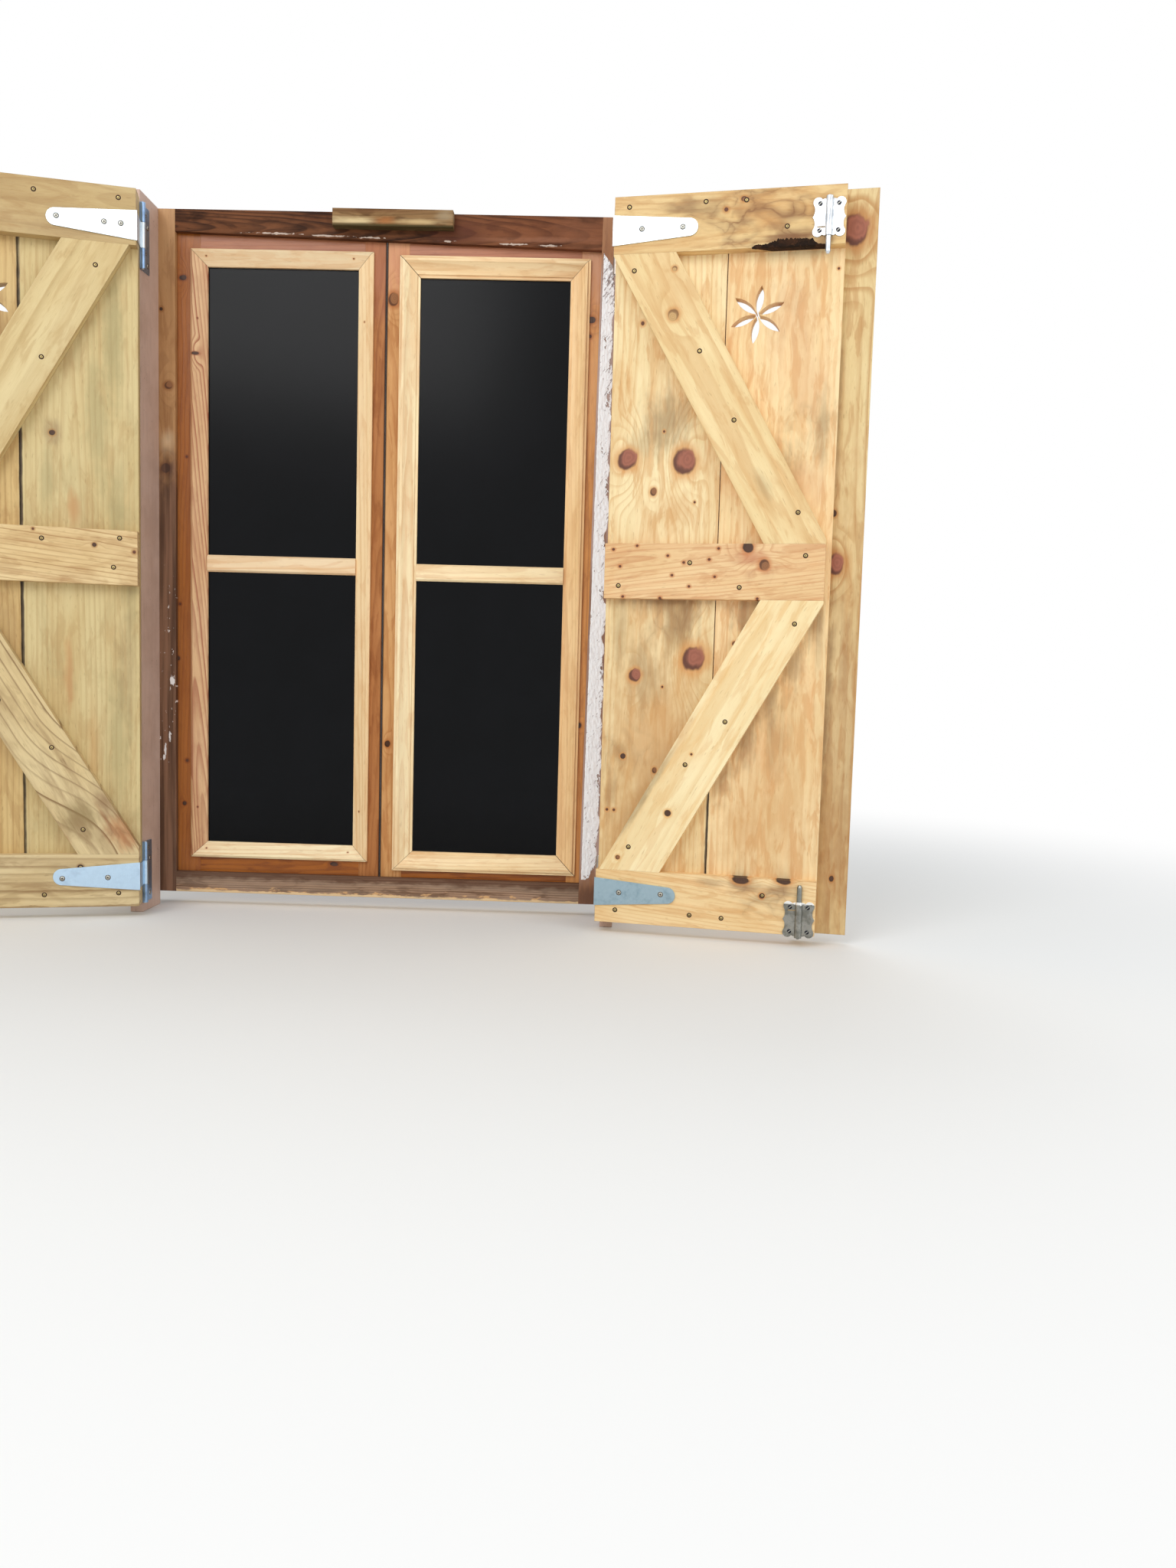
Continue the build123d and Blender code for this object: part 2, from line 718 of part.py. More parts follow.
def make_casement_pins():
    with BuildPart() as pins:
        for side in (LEFT, RIGHT):
            for middle in butt_heights.values():
                with BuildSketch(Plane.XY.offset(middle - butt_leaf_height / 2)):
                    with Locations((butt_x(side), butt_y)):
                        Circle(butt_pin_radius)
                extrude(amount=butt_leaf_height)
    finish(pins, "casement_hinge_pins")


def make_turn_button():
    with BuildPart() as button:
        with BuildSketch(facade(frame_back + face_gap + button_thickness)):
            with Locations((meeting_line, button_z)):
                Circle(button_width / 2)
            add(box_outline(meeting_line, meeting_line + button_reach,
                            button_z - button_width / 2, button_z + button_width / 2))
        extrude(amount=button_thickness)
        with BuildSketch(facade(frame_back + face_gap)):
            with Locations((meeting_line, button_z)):
                Circle(button_pin_radius)
        extrude(amount=button_pin_length)
    finish(button, "turn_button")


make_head()
make_bottom_rail()
make_head_block()
for side in (LEFT, RIGHT):
    make_jamb(side)
    make_lining(side)
    for ledge in ledge_centres:
        make_ledge(side, ledge)
    for brace in brace_ends:
        make_brace(side, brace)
    make_hinge_board(side)
    make_free_board(side)
    for name in strap_heights[side]:
        make_strap(side, name)
    make_hinge_leaves(side)
    for stile in ("hinge_stile", "meeting_stile"):
        make_stile(side, stile)
    for rail in ("top_rail", "bottom_rail"):
        make_sash_rail(side, rail)
    make_glass(side)
    for bead in ("hinge_bead", "meeting_bead"):
        make_upright_bead(side, bead)
    for bead in ("top_bead", "bottom_bead"):
        make_level_bead(side, bead)
    make_glazing_bar(side)
    make_sash_hinge_leaves(side)
make_cover_strip()
make_hinge_pins()
for end in bolt_heights:
    make_bolt_case(end)
    make_bolt_rod(end)
make_frame_hinge_leaves()
make_casement_pins()
make_turn_button()
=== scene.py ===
import json
from math import cos, pi, radians, sin

import bmesh
import bpy
from mathutils import Matrix, Vector, noise

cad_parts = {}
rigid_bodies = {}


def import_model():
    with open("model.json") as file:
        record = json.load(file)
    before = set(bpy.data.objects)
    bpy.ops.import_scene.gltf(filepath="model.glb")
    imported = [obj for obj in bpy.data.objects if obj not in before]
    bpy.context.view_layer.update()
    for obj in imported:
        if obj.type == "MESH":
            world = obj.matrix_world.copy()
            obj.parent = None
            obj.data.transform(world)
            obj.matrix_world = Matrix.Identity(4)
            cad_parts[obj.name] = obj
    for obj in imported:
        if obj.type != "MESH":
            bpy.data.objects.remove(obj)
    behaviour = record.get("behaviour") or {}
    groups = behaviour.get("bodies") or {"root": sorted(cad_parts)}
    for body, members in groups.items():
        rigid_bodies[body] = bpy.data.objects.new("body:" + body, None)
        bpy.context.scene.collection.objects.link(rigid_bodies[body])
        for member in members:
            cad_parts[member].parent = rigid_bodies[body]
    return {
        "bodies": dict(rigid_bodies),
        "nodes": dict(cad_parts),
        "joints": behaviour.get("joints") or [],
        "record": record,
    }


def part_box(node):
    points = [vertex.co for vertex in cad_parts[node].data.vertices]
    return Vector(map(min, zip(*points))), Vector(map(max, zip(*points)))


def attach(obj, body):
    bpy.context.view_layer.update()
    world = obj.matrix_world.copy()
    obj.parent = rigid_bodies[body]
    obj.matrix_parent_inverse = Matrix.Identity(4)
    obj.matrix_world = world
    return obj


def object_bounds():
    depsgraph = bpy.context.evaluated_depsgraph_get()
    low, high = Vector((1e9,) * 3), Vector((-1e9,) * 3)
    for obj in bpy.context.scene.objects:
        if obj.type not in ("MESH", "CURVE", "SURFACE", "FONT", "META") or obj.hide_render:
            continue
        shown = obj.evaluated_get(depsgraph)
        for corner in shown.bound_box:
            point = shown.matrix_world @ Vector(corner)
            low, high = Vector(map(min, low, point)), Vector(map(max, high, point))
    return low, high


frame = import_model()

cad_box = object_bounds()
nodes = frame["nodes"]
scene = bpy.context.scene

# The parts' places, in metres
LEFT = -1
RIGHT = 1
NAMES = {LEFT: "left", RIGHT: "right"}
HINGE_X = 0.401
HINGE_Y = -0.105
FOOT = -0.005
OPEN_ANGLE = {LEFT: radians(14.8), RIGHT: radians(10.9)}
LEDGE_FACE = 0.0447
BOARD_FACE = 0.0247
STRIP_FACE = 0.0047
LEDGE_UNDERSIDE = 1109  # of the right shutter's top ledge, in millimetres from the foot
FRAME_FACE = -0.025
SASH_FACE = -0.0145
JAMB_X = 0.391
HEAD_SLOPE = 0.0243
UP = Vector((0, 0, 1))
LEVEL = Vector((1, 0, 0))


def srgb(r, g, b):
    """The linear colour of an 8-bit display colour."""
    def linear(v):
        v = v / 255
        return v / 12.92 if v <= 0.04045 else ((v + 0.055) / 1.055) ** 2.4
    return linear(r), linear(g), linear(b), 1


# Shader building
class Nodes:
    """The node tree of a material or a world, cleared."""

    def __init__(self, owner):
        owner.use_nodes = True
        self.tree = owner.node_tree
        self.tree.nodes.clear()

    def node(self, kind, **settings):
        made = self.tree.nodes.new(kind)
        for key, value in settings.items():
            setattr(made, key, value)
        return made

    def plug(self, socket, value):
        if isinstance(value, bpy.types.NodeSocket):
            self.tree.links.new(value, socket)
        else:
            socket.default_value = value

    def feed(self, made, *values):
        """Plug values into a node's first sockets; returns its first output."""
        for socket, value in zip(made.inputs, values):
            self.plug(socket, value)
        return made.outputs[0]

    def math(self, operation, *values):
        return self.feed(self.node("ShaderNodeMath", operation=operation), *values)

    def seen(self):
        """1 for what the camera sees, straight, mirrored or through glass."""
        path = self.node("ShaderNodeLightPath")
        shown = self.math("MAXIMUM", path.outputs["Is Camera Ray"], path.outputs["Is Glossy Ray"])
        return self.math("MAXIMUM", shown, path.outputs["Is Transmission Ray"])


class Shader(Nodes):
    """A material under construction, measured in the object's own metres."""

    def __init__(self, name, **surface):
        self.material = bpy.data.materials.new(name)
        super().__init__(self.material)
        self.bsdf = self.node("ShaderNodeBsdfPrincipled")
        self.surface = self.node("ShaderNodeOutputMaterial").inputs["Surface"]
        self.plug(self.surface, self.bsdf.outputs[0])
        for socket, value in surface.items():
            self.bsdf.inputs[socket.replace("_", " ")].default_value = value
        self.point = self.node("ShaderNodeTexCoord").outputs["Object"]

    def add(self, a, b):
        return self.math("ADD", a, b)

    def times(self, a, b):
        return self.math("MULTIPLY", a, b)

    def sway(self, value, reach):
        """A noise value as an offset either way."""
        return self.times(self.add(value, -0.5), reach)

    def length(self, x, y):
        return self.math("SQRT", self.add(self.times(x, x), self.times(y, y)))

    def step(self, value, low, high, start=0, end=1):
        """A smooth step of a value between two limits."""
        made = self.node("ShaderNodeMapRange", interpolation_type="SMOOTHSTEP")
        return self.feed(made, value, low, high, start, end)

    def along(self, origin, direction):
        """Distance from an origin along a direction."""
        made = self.node("ShaderNodeVectorMath", operation="DOT_PRODUCT")
        self.plug(made.inputs[0], self.point)
        made.inputs[1].default_value = direction
        return self.add(made.outputs["Value"], -Vector(origin).dot(direction))

    def vector(self, x, y, z):
        return self.feed(self.node("ShaderNodeCombineXYZ"), x, y, z)

    def noise(self, vector, scale, detail=2, rough=0.5, colour=False, distortion=0):
        made = self.node("ShaderNodeTexNoise")
        for socket, value in {"Vector": vector, "Scale": scale, "Detail": detail, "Roughness": rough,
                              "Distortion": distortion}.items():
            self.plug(made.inputs[socket], value)
        return made.outputs["Color" if colour else "Fac"]

    def parts(self, vector):
        made = self.node("ShaderNodeSeparateXYZ")
        self.plug(made.inputs[0], vector)
        return made.outputs

    def reach(self, across, grain, x, y, wide, tall):
        """Distance from a spot on a board, in the spot's own half sizes."""
        dx = self.times(self.add(across, -x), 1 / wide)
        dy = self.times(self.add(grain, -y), 1 / tall)
        return self.length(dx, dy)

    def mix(self, share, a, b):
        made = self.node("ShaderNodeMix", data_type="RGBA")
        for i, value in ((0, share), (6, a), (7, b)):
            self.plug(made.inputs[i], value)
        return made.outputs[2]

    @staticmethod
    def tint(colour, r, g, b):
        return colour[0] * r, colour[1] * g, colour[2] * b, 1

    def relief(self, height, depth, arris=0):
        """Bump from a height between 0 and 1, over softened edges."""
        bump = self.node("ShaderNodeBump")
        bump.inputs["Distance"].default_value = depth
        self.plug(bump.inputs["Height"], height)
        if arris:
            edge = self.node("ShaderNodeBevel", samples=4)
            edge.inputs["Radius"].default_value = arris
            self.plug(bump.inputs["Normal"], edge.outputs[0])
        self.plug(self.bsdf.inputs["Normal"], bump.outputs[0])

    def finish(self, colour, roughness=None):
        self.plug(self.bsdf.inputs["Base Color"], colour)
        if roughness is not None:
            self.plug(self.bsdf.inputs["Roughness"], roughness)
        return self.material


class Board:
    """Where a board's grain runs: its origin, along the grain, across the face, out of the face."""

    def __init__(self, origin, grain, across, out):
        self.origin = Vector(origin)
        self.grain = Vector(grain).normalized()
        self.across = Vector(across).normalized()
        self.out = Vector(out).normalized()

    def place(self, point):
        """Across and along the board, for a point in the object's metres."""
        offset = Vector(point) - self.origin
        return offset.dot(self.across), offset.dot(self.grain)

    def point(self, x, y):
        """The point in the object's metres, from across and along the board."""
        return self.origin + self.across * x + self.grain * y


# Colours of each kind of knot, heart and rim, and the least size in metres that bends the grain
KNOTS = {
    "red": (srgb(164, 100, 78), srgb(88, 46, 38)),
    "brown": (srgb(150, 100, 62), srgb(84, 50, 30)),
    "dark": (srgb(80, 52, 36), srgb(44, 28, 20)),
    "pin": (srgb(122, 66, 40), srgb(90, 48, 30)),
    "pale": (srgb(204, 164, 108), srgb(134, 96, 56)),
}
SMALL_KNOT = 0.0035


def wood(name, board, light, late, spacing=0.005, pith=(0, 0.06), taper=0.02, warp=0.006, curl=0,
         contrast=0.6, line=0.4, streaks=0.4, blotch=0.35, mottle=0.3, tone=None, flecks=0.3, knots=(),
         stains=(), veins=(), vein=None, flows=(), roughness=0.55, seed=0, arris=0.0012, wear=None,
         specular=0.4):
    """Sawn softwood: growth rings cut by the face, figure, fibre, knots and stains; some of the stains and
    wear marks are painted shade and shadow.
    """
    s = Shader(name, Specular_IOR_Level=specular)
    across = s.along(board.origin, board.across)
    out = s.along(board.origin, board.out)
    grain = s.along(board.origin, board.grain)
    shift = s.add(grain, seed * 3.7)

    def drawn(stretch, *settings, **more):
        """A noise drawn out along the grain."""
        return s.noise(s.vector(across, out, s.times(shift, stretch)), *settings, **more)

    slow_x, slow_y, slow_z = s.parts(drawn(0.3, 11, 2, 0.55, colour=True))
    side = s.add(s.add(across, -pith[0]), s.sway(slow_x, 2 * warp))
    depth = s.add(s.add(s.times(grain, taper), pith[1]), s.sway(slow_y, 2 * warp))
    depth = s.add(depth, out)
    if curl:
        depth = s.add(depth, s.sway(drawn(0.55, 34, 3, 0.6, distortion=0.6), 2 * curl))
    radius = s.length(side, depth)
    ripple = drawn(0.5, 70, 2, 0.5)
    fields = []
    for x, y, size, tall, kind in knots:
        dx = s.times(s.add(across, -x), 1 / size)
        dy = s.times(s.add(grain, -y), 1 / (size * tall))
        field = s.add(s.length(dx, dy), s.sway(ripple, 0.6))
        if size > SMALL_KNOT:
            flow = s.length(dx, s.times(dy, 0.45 * tall))
            radius = s.add(radius, s.times(s.step(flow, 0.5, 2.8, 1, 0), 1.5 * size))
        fields.append((dx, dy, field, size, kind))
    for x, y, size, bend in flows:
        flow = s.reach(across, grain, x, y, size, 1.4 * size)
        radius = s.add(radius, s.times(s.step(flow, 0.2, 3, 1, 0), bend * size))
    rings = s.times(radius, 1 / spacing)
    fraction = s.math("FRACT", rings)
    chance = s.node("ShaderNodeTexWhiteNoise", noise_dimensions="1D")
    s.plug(chance.inputs["W"], s.add(s.math("FLOOR", rings), seed))
    strong = s.add(s.times(chance.outputs["Value"], 0.65), 0.35)
    band = s.times(s.step(fraction, line, 0.92), s.step(fraction, 0.92, 1, 1, 0))
    band = s.times(s.times(band, strong), contrast)
    colour = s.mix(s.step(slow_z, 0.35, 0.65), light, s.tint(light, 0.93, 0.89, 0.82))
    streak = drawn(0.035, 75, 3, 0.6)
    colour = s.mix(s.times(s.step(streak, 0.45, 0.75), streaks), colour, s.tint(late, 1.15, 1.1, 1.05))
    if blotch:
        cloud = drawn(0.4, 17, 4, 0.62, distortion=0.9)
        colour = s.mix(s.step(cloud, 0.46, 0.74, 0, blotch), colour, tone or s.tint(late, 1.05, 0.95, 0.85))
    if mottle:
        watery = drawn(0.2, 62, 3, 0.62, distortion=0.7)
        colour = s.mix(s.step(watery, 0.5, 0.62, 0, mottle), colour, s.tint(late, 0.94, 0.8, 0.64))
        colour = s.mix(s.step(watery, 0.47, 0.36, 0, 0.6 * mottle), colour, s.tint(light, 1.08, 1.1, 1.14))
    colour = s.mix(band, colour, late)
    fibre = drawn(0.02, 700, 2, 0.6)
    colour = s.mix(s.step(fibre, 0.55, 0.85, 0, 0.3), colour, s.tint(late, 0.8, 0.75, 0.7))
    if flecks:
        dash = drawn(0.17, 330, 1, 0.5)
        colour = s.mix(s.step(dash, 0.64, 0.76, 0, flecks), colour, s.tint(late, 0.6, 0.52, 0.45))
    # Stains, some of them painted shade and shadow
    for x, y, wide, tall, strength, tinge in stains:
        reach = s.add(s.reach(across, grain, x, y, wide, tall), s.sway(streak, 1.5))
        reach = s.add(reach, s.sway(ripple, 1))
        colour = s.mix(s.step(reach, 0.1, 1.2, strength, 0), colour, tinge)
    if veins:
        path = drawn(0.55, 22, 2.5, 0.5, distortion=0.9)
        off = s.math("ABSOLUTE", s.add(path, -0.5))
        thread = s.math("MAXIMUM", s.step(off, 0, 0.045, 0.75, 0), s.step(off, 0, 0.13, 0.5, 0))
        thread = s.times(thread, s.step(streak, 0.3, 0.6, 0.45, 1))
        for x, y, wide, tall, strength in veins:
            reach = s.add(s.reach(across, grain, x, y, wide, tall), s.sway(ripple, 0.8))
            mask = s.step(reach, 0.4, 1.2, strength, 0)
            colour = s.mix(s.times(mask, thread), colour, vein or BROWN)
    for dx, dy, field, size, kind in fields:
        heart, rim = KNOTS[kind]
        colour = s.mix(s.step(field, 0.9, 2 if size > SMALL_KNOT else 2.8, 0.7, 0), colour,
                       s.tint(late, 0.98, 0.74, 0.5))
        colour = s.mix(s.step(field, 0.85, 1.15, 0.95, 0), colour, rim)
        if size > SMALL_KNOT:
            core = s.length(s.add(dx, 0.24), s.add(dy, -0.2))
            inner = s.add(core, s.sway(ripple, 0.9))
            turns = s.add(s.times(s.math("SINE", s.times(inner, 17)), 0.5), 0.5)
            disc = s.mix(s.times(turns, 0.22), heart, rim)
            colour = s.mix(s.step(inner, 0.6, 1, 0.95, 0), colour, disc)
    # Wear marks; for the meeting stiles, painted shade in the joint
    if wear:
        colour = wear(s, colour, across, grain, streak, ripple)
    height = s.add(s.times(fibre, 0.5), s.times(band, 0.5))
    s.relief(height, 0.0004, arris)
    return s.finish(colour, s.step(fibre, 0.2, 0.8, roughness - 0.06, roughness + 0.1))


def dress(node, material):
    nodes[node].material_slots[0].material = material


# The open shutters' own directions
def out_direction(side):
    return Vector((side * cos(OPEN_ANGLE[side]), -sin(OPEN_ANGLE[side]), 0))


def face_direction(side):
    return Vector((-side * sin(OPEN_ANGLE[side]), -cos(OPEN_ANGLE[side]), 0))


def on_shutter(side, out, up, depth=LEDGE_FACE):
    """A point on a shutter, from millimetres out from the pins and up from the foot."""
    pin = Vector((side * HINGE_X, HINGE_Y, FOOT))
    return pin + out_direction(side) * out / 1000 + UP * up / 1000 + face_direction(side) * depth


def dress_wood(node, board, **look):
    material = wood(node + "_wood", board, **look)
    dress(node, material)


def shutter_wood(node, start, toward=None, depth=LEDGE_FACE, knots=(), stains=(), veins=(), flows=(), **look):
    """Wood of a shutter, from millimetres on it; toward is a second point along the grain."""
    side = LEFT if node.startswith("left") else RIGHT
    origin = on_shutter(side, *start, depth)
    grain = on_shutter(side, *toward, depth) - origin if toward else UP
    face = face_direction(side)
    board = Board(origin, grain, face.cross(grain), face)

    def placed(marks, sizes):
        """Marks in metres on the board; the first numbers after a mark's place are sizes."""
        return [(*board.place(on_shutter(side, *mark[:2], depth)),
                 *[size / 1000 for size in mark[2:2 + sizes]], *mark[2 + sizes:]) for mark in marks]

    dress_wood(node, board, knots=placed(knots, 1), stains=placed(stains, 2), veins=placed(veins, 2),
               flows=placed(flows, 1), **look)


GREY = srgb(156, 128, 88)
PINKISH = srgb(212, 156, 108)
WARM = srgb(206, 150, 88)
BROWN = srgb(122, 80, 46)
# Painted shade in the gaps between the shutters' boards
GAP_SHADE = srgb(48, 30, 18)


# Partly painted light: the right shutter's woods are brighter and more golden than the left's, partly their
# own colour and partly painted sunlight.
def dress_right_shutter():
    shutter_wood(
        "right_hinge_board", (95, 0), depth=BOARD_FACE, light=srgb(246, 225, 176), late=srgb(212, 162, 100),
        tone=srgb(216, 168, 108), spacing=0.0065, pith=(0.02, 0.05), taper=0.03, contrast=0.5, line=0.5,
        blotch=0.6, mottle=0.45, seed=1,
        knots=[
            (33.5, 782.8, 16, 1, "red"), (131, 778, 18, 1.15, "red"), (80, 729, 5.5, 1.2, "brown"),
            (58, 423, 9.5, 1.1, "red"), (156.4, 453, 18, 1.1, "red"), (42, 285, 4.5, 1, "dark"),
            (97, 263, 4, 1.3, "brown"), (17, 192, 2.6, 1, "pin"), (29, 192, 2.6, 1, "pin"),
            (53, 1004, 3, 1.2, "pin"), (95, 828, 1.8, 1.2, "pin"), (106, 405, 1.8, 1.2, "pin"),
            (150, 712, 1.8, 1.2, "pin")],
        stains=[
            (100, 840, 44, 58, 0.7, GREY), (62, 806, 36, 28, 0.4, GREY), (128, 505, 34, 64, 0.75, GREY),
            (100, 548, 60, 28, 0.45, GREY), (66, 452, 24, 40, 0.5, GREY), (40, 292, 22, 26, 0.5, GREY),
            (95, 300, 150, 330, 0.5, srgb(198, 148, 90)), (96, 320, 70, 130, 0.35, WARM),
            (60, 150, 70, 90, 0.4, WARM), (120, 700, 50, 30, 0.35, WARM), (50, 600, 60, 40, 0.35, WARM),
            (80, 410, 40, 60, 0.4, GREY), (30, 500, 16, 80, 0.4, GREY), (150, 520, 26, 30, 0.4, BROWN),
            # The wide thin brown band at (100, 552) is painted shade under the middle ledge.
            (22, 220, 12, 60, 0.35, BROWN), (100, 552, 110, 10, 0.5, BROWN),
            # The dark line at 189.5 is painted shade in the gap between the boards.
            (189.5, 150, 2.2, 220, 0.9, GAP_SHADE)],
        veins=[(40, 300, 60, 60, 0.4), (110, 520, 60, 60, 0.4), (100, 860, 60, 60, 0.3)])
    shutter_wood(
        "right_free_board", (285, 0), depth=BOARD_FACE, light=srgb(248, 221, 170), late=srgb(220, 166, 106),
        tone=srgb(226, 172, 118), spacing=0.0085, pith=(-0.03, 0.045), taper=0.016, contrast=0.4, line=0.35,
        seed=2, warp=0.009, curl=0.005, blotch=0.7, mottle=0.48,
        knots=[(225, 480, 4, 1, "brown"), (368, 1078, 2, 1, "pin")],
        stains=[
            (300, 1010, 55, 80, 0.4, PINKISH), (330, 900, 40, 90, 0.35, PINKISH),
            (300, 760, 30, 70, 0.5, GREY), (355, 830, 18, 70, 0.5, GREY), (330, 740, 45, 50, 0.4, PINKISH),
            (240, 400, 30, 130, 0.4, GREY), (285, 260, 150, 300, 0.35, srgb(204, 156, 100)),
            (250, 170, 44, 70, 0.4, WARM), (320, 200, 40, 90, 0.3, WARM), (250, 530, 50, 40, 0.45, BROWN),
            # Painted shadow: the brown spots from (352, 525) down to (212, 262) lie along the lower brace's
            # lower edge.
            (360, 500, 20, 60, 0.35, GREY), (352, 525, 22, 50, 0.45, BROWN), (318, 455, 24, 60, 0.45, BROWN),
            (282, 390, 24, 60, 0.45, BROWN), (246, 325, 24, 60, 0.45, BROWN), (212, 262, 20, 60, 0.45, BROWN),
            # The dark line at 190.5 is painted shade in the gap between the boards.
            (300, 330, 26, 90, 0.3, GREY), (190.5, 150, 2.6, 220, 0.95, GAP_SHADE)],
        veins=[(330, 830, 50, 80, 0.25), (290, 1020, 60, 60, 0.15)])
    shutter_wood(
        "right_top_ledge", (190, 1154), (200, 1154), light=srgb(232, 200, 143), late=srgb(188, 138, 80),
        tone=srgb(206, 150, 84), spacing=0.011, pith=(0, 0.03), taper=0.09, warp=0.016, curl=0.006,
        contrast=0.4, blotch=0.6, seed=3, knots=[(187, 1171, 3.4, 1, "pin"), (215, 1186, 4, 1.2, "brown")],
        stains=[
            (120, 1178, 12, 34, 0.6, BROWN), (160, 1168, 14, 30, 0.4, GREY), (300, 1125, 14, 52, 0.7, BROWN),
            (345, 1124, 18, 22, 0.6, BROWN), (230, 1166, 24, 40, 0.55, WARM), (262, 1150, 22, 30, 0.6, WARM),
            (240, 1172, 10, 22, 0.45, BROWN), (262, 1140, 9, 18, 0.4, BROWN), (222, 1150, 8, 16, 0.4, BROWN),
            (290, 1160, 12, 26, 0.4, BROWN), (285, 1124, 5, 46, 0.6, BROWN)],
        veins=[(250, 1154, 70, 110, 1), (130, 1178, 20, 60, 0.7)], vein=srgb(120, 74, 38))
    pins = [(19, 632), (59, 638), (31, 604), (111, 622), (138, 611), (119, 590), (148, 572), (180, 616),
            (195, 634), (190, 588), (37, 554), (100, 552), (261, 553)]
    shutter_wood(
        "right_middle_ledge", (190, 596), (200, 597), light=srgb(238, 203, 152), late=srgb(196, 130, 80),
        tone=srgb(224, 164, 104), spacing=0.0055, pith=(0.03, 0.02), taper=0.03, warp=0.008, contrast=0.55,
        line=0.55, blotch=0.3, seed=4,
        knots=[
            (243, 636, 8.5, 1, "dark"), (270, 608.5, 8.5, 1, "brown"),
            *[(t, z, 2.2, 1.1, "pin") for t, z in pins]],
        stains=[(252, 620, 16, 30, 0.6, srgb(186, 100, 66)), (225, 630, 24, 30, 0.3, PINKISH)],
        veins=[(250, 610, 40, 50, 0.5)], vein=srgb(170, 96, 60))
    shutter_wood(
        "right_bottom_ledge", (190, 45), (200, 44), light=srgb(246, 216, 164), late=srgb(212, 158, 94),
        tone=srgb(222, 168, 104), spacing=0.006, pith=(0, 0.014), taper=0.035, warp=0.009, contrast=0.5,
        line=0.5, seed=5,
        knots=[(251, 88, 7, 1.9, "dark"), (322, 90, 6, 2, "dark"), (288, 62, 4.5, 1, "brown")],
        stains=[
            (252, 78, 12, 34, 0.6, BROWN), (318, 74, 16, 26, 0.6, BROWN), (290, 60, 14, 26, 0.4, GREY),
            (200, 78, 10, 30, 0.4, BROWN)],
        veins=[(290, 60, 40, 60, 0.6)])
    shutter_wood(
        "right_upper_brace", (188, 875.5), (320, 642), light=srgb(241, 216, 163),
        late=srgb(208, 160, 100), spacing=0.017, pith=(-0.01, 0.03), taper=0.025, contrast=0.6,
        seed=6, warp=0.005, blotch=0.25,
        knots=[(107, 1010, 9, 1, "pale"), (107, 1083, 4.5, 1, "pale")],
        stains=[
            (262, 735, 14, 26, 0.35, GREY), (107, 1060, 30, 60, 0.3, WARM), (109, 1012, 3, 3, 0.8, BROWN)])
    shutter_wood(
        "right_lower_brace", (190, 320.5), (318, 551), light=srgb(252, 232, 184), late=srgb(228, 186, 122),
        spacing=0.013, pith=(0.02, 0.05), taper=0.01, contrast=0.5, seed=7, warp=0.004, blotch=0.25,
        knots=[(125, 193, 5.5, 1, "dark"), (42, 113, 4, 1, "brown"), (162, 294, 2, 1, "pin")],
        stains=[(68, 196, 14, 60, 0.6, GREY), (108, 262, 10, 60, 0.5, GREY), (150, 330, 10, 50, 0.4, WARM)])
    shutter_wood(
        "right_cover_strip", (400, 0), depth=STRIP_FACE, light=srgb(231, 209, 158), late=srgb(182, 132, 74),
        spacing=0.0085, pith=(0.012, 0.03), taper=0.006, contrast=0.75, line=0.45, seed=8, blotch=0.45,
        mottle=0.4,
        knots=[
            (389, 1143, 22, 1.1, "red"), (382, 613, 14, 1.25, "red"), (400, 92, 3.6, 1.3, "dark"),
            (377, 696, 5, 1.2, "dark")],
        stains=[
            # Painted shadow: the long brown streaks at 376 and 378 lie along the strip's edge beside the
            # proud board.
            (400, 300, 60, 480, 0.4, srgb(170, 122, 70)), (376, 400, 14, 260, 0.5, BROWN),
            (378, 850, 8, 200, 0.45, BROWN), (410, 140, 40, 150, 0.42, srgb(158, 104, 54)),
            (405, 480, 9, 160, 0.4, srgb(150, 100, 54))])
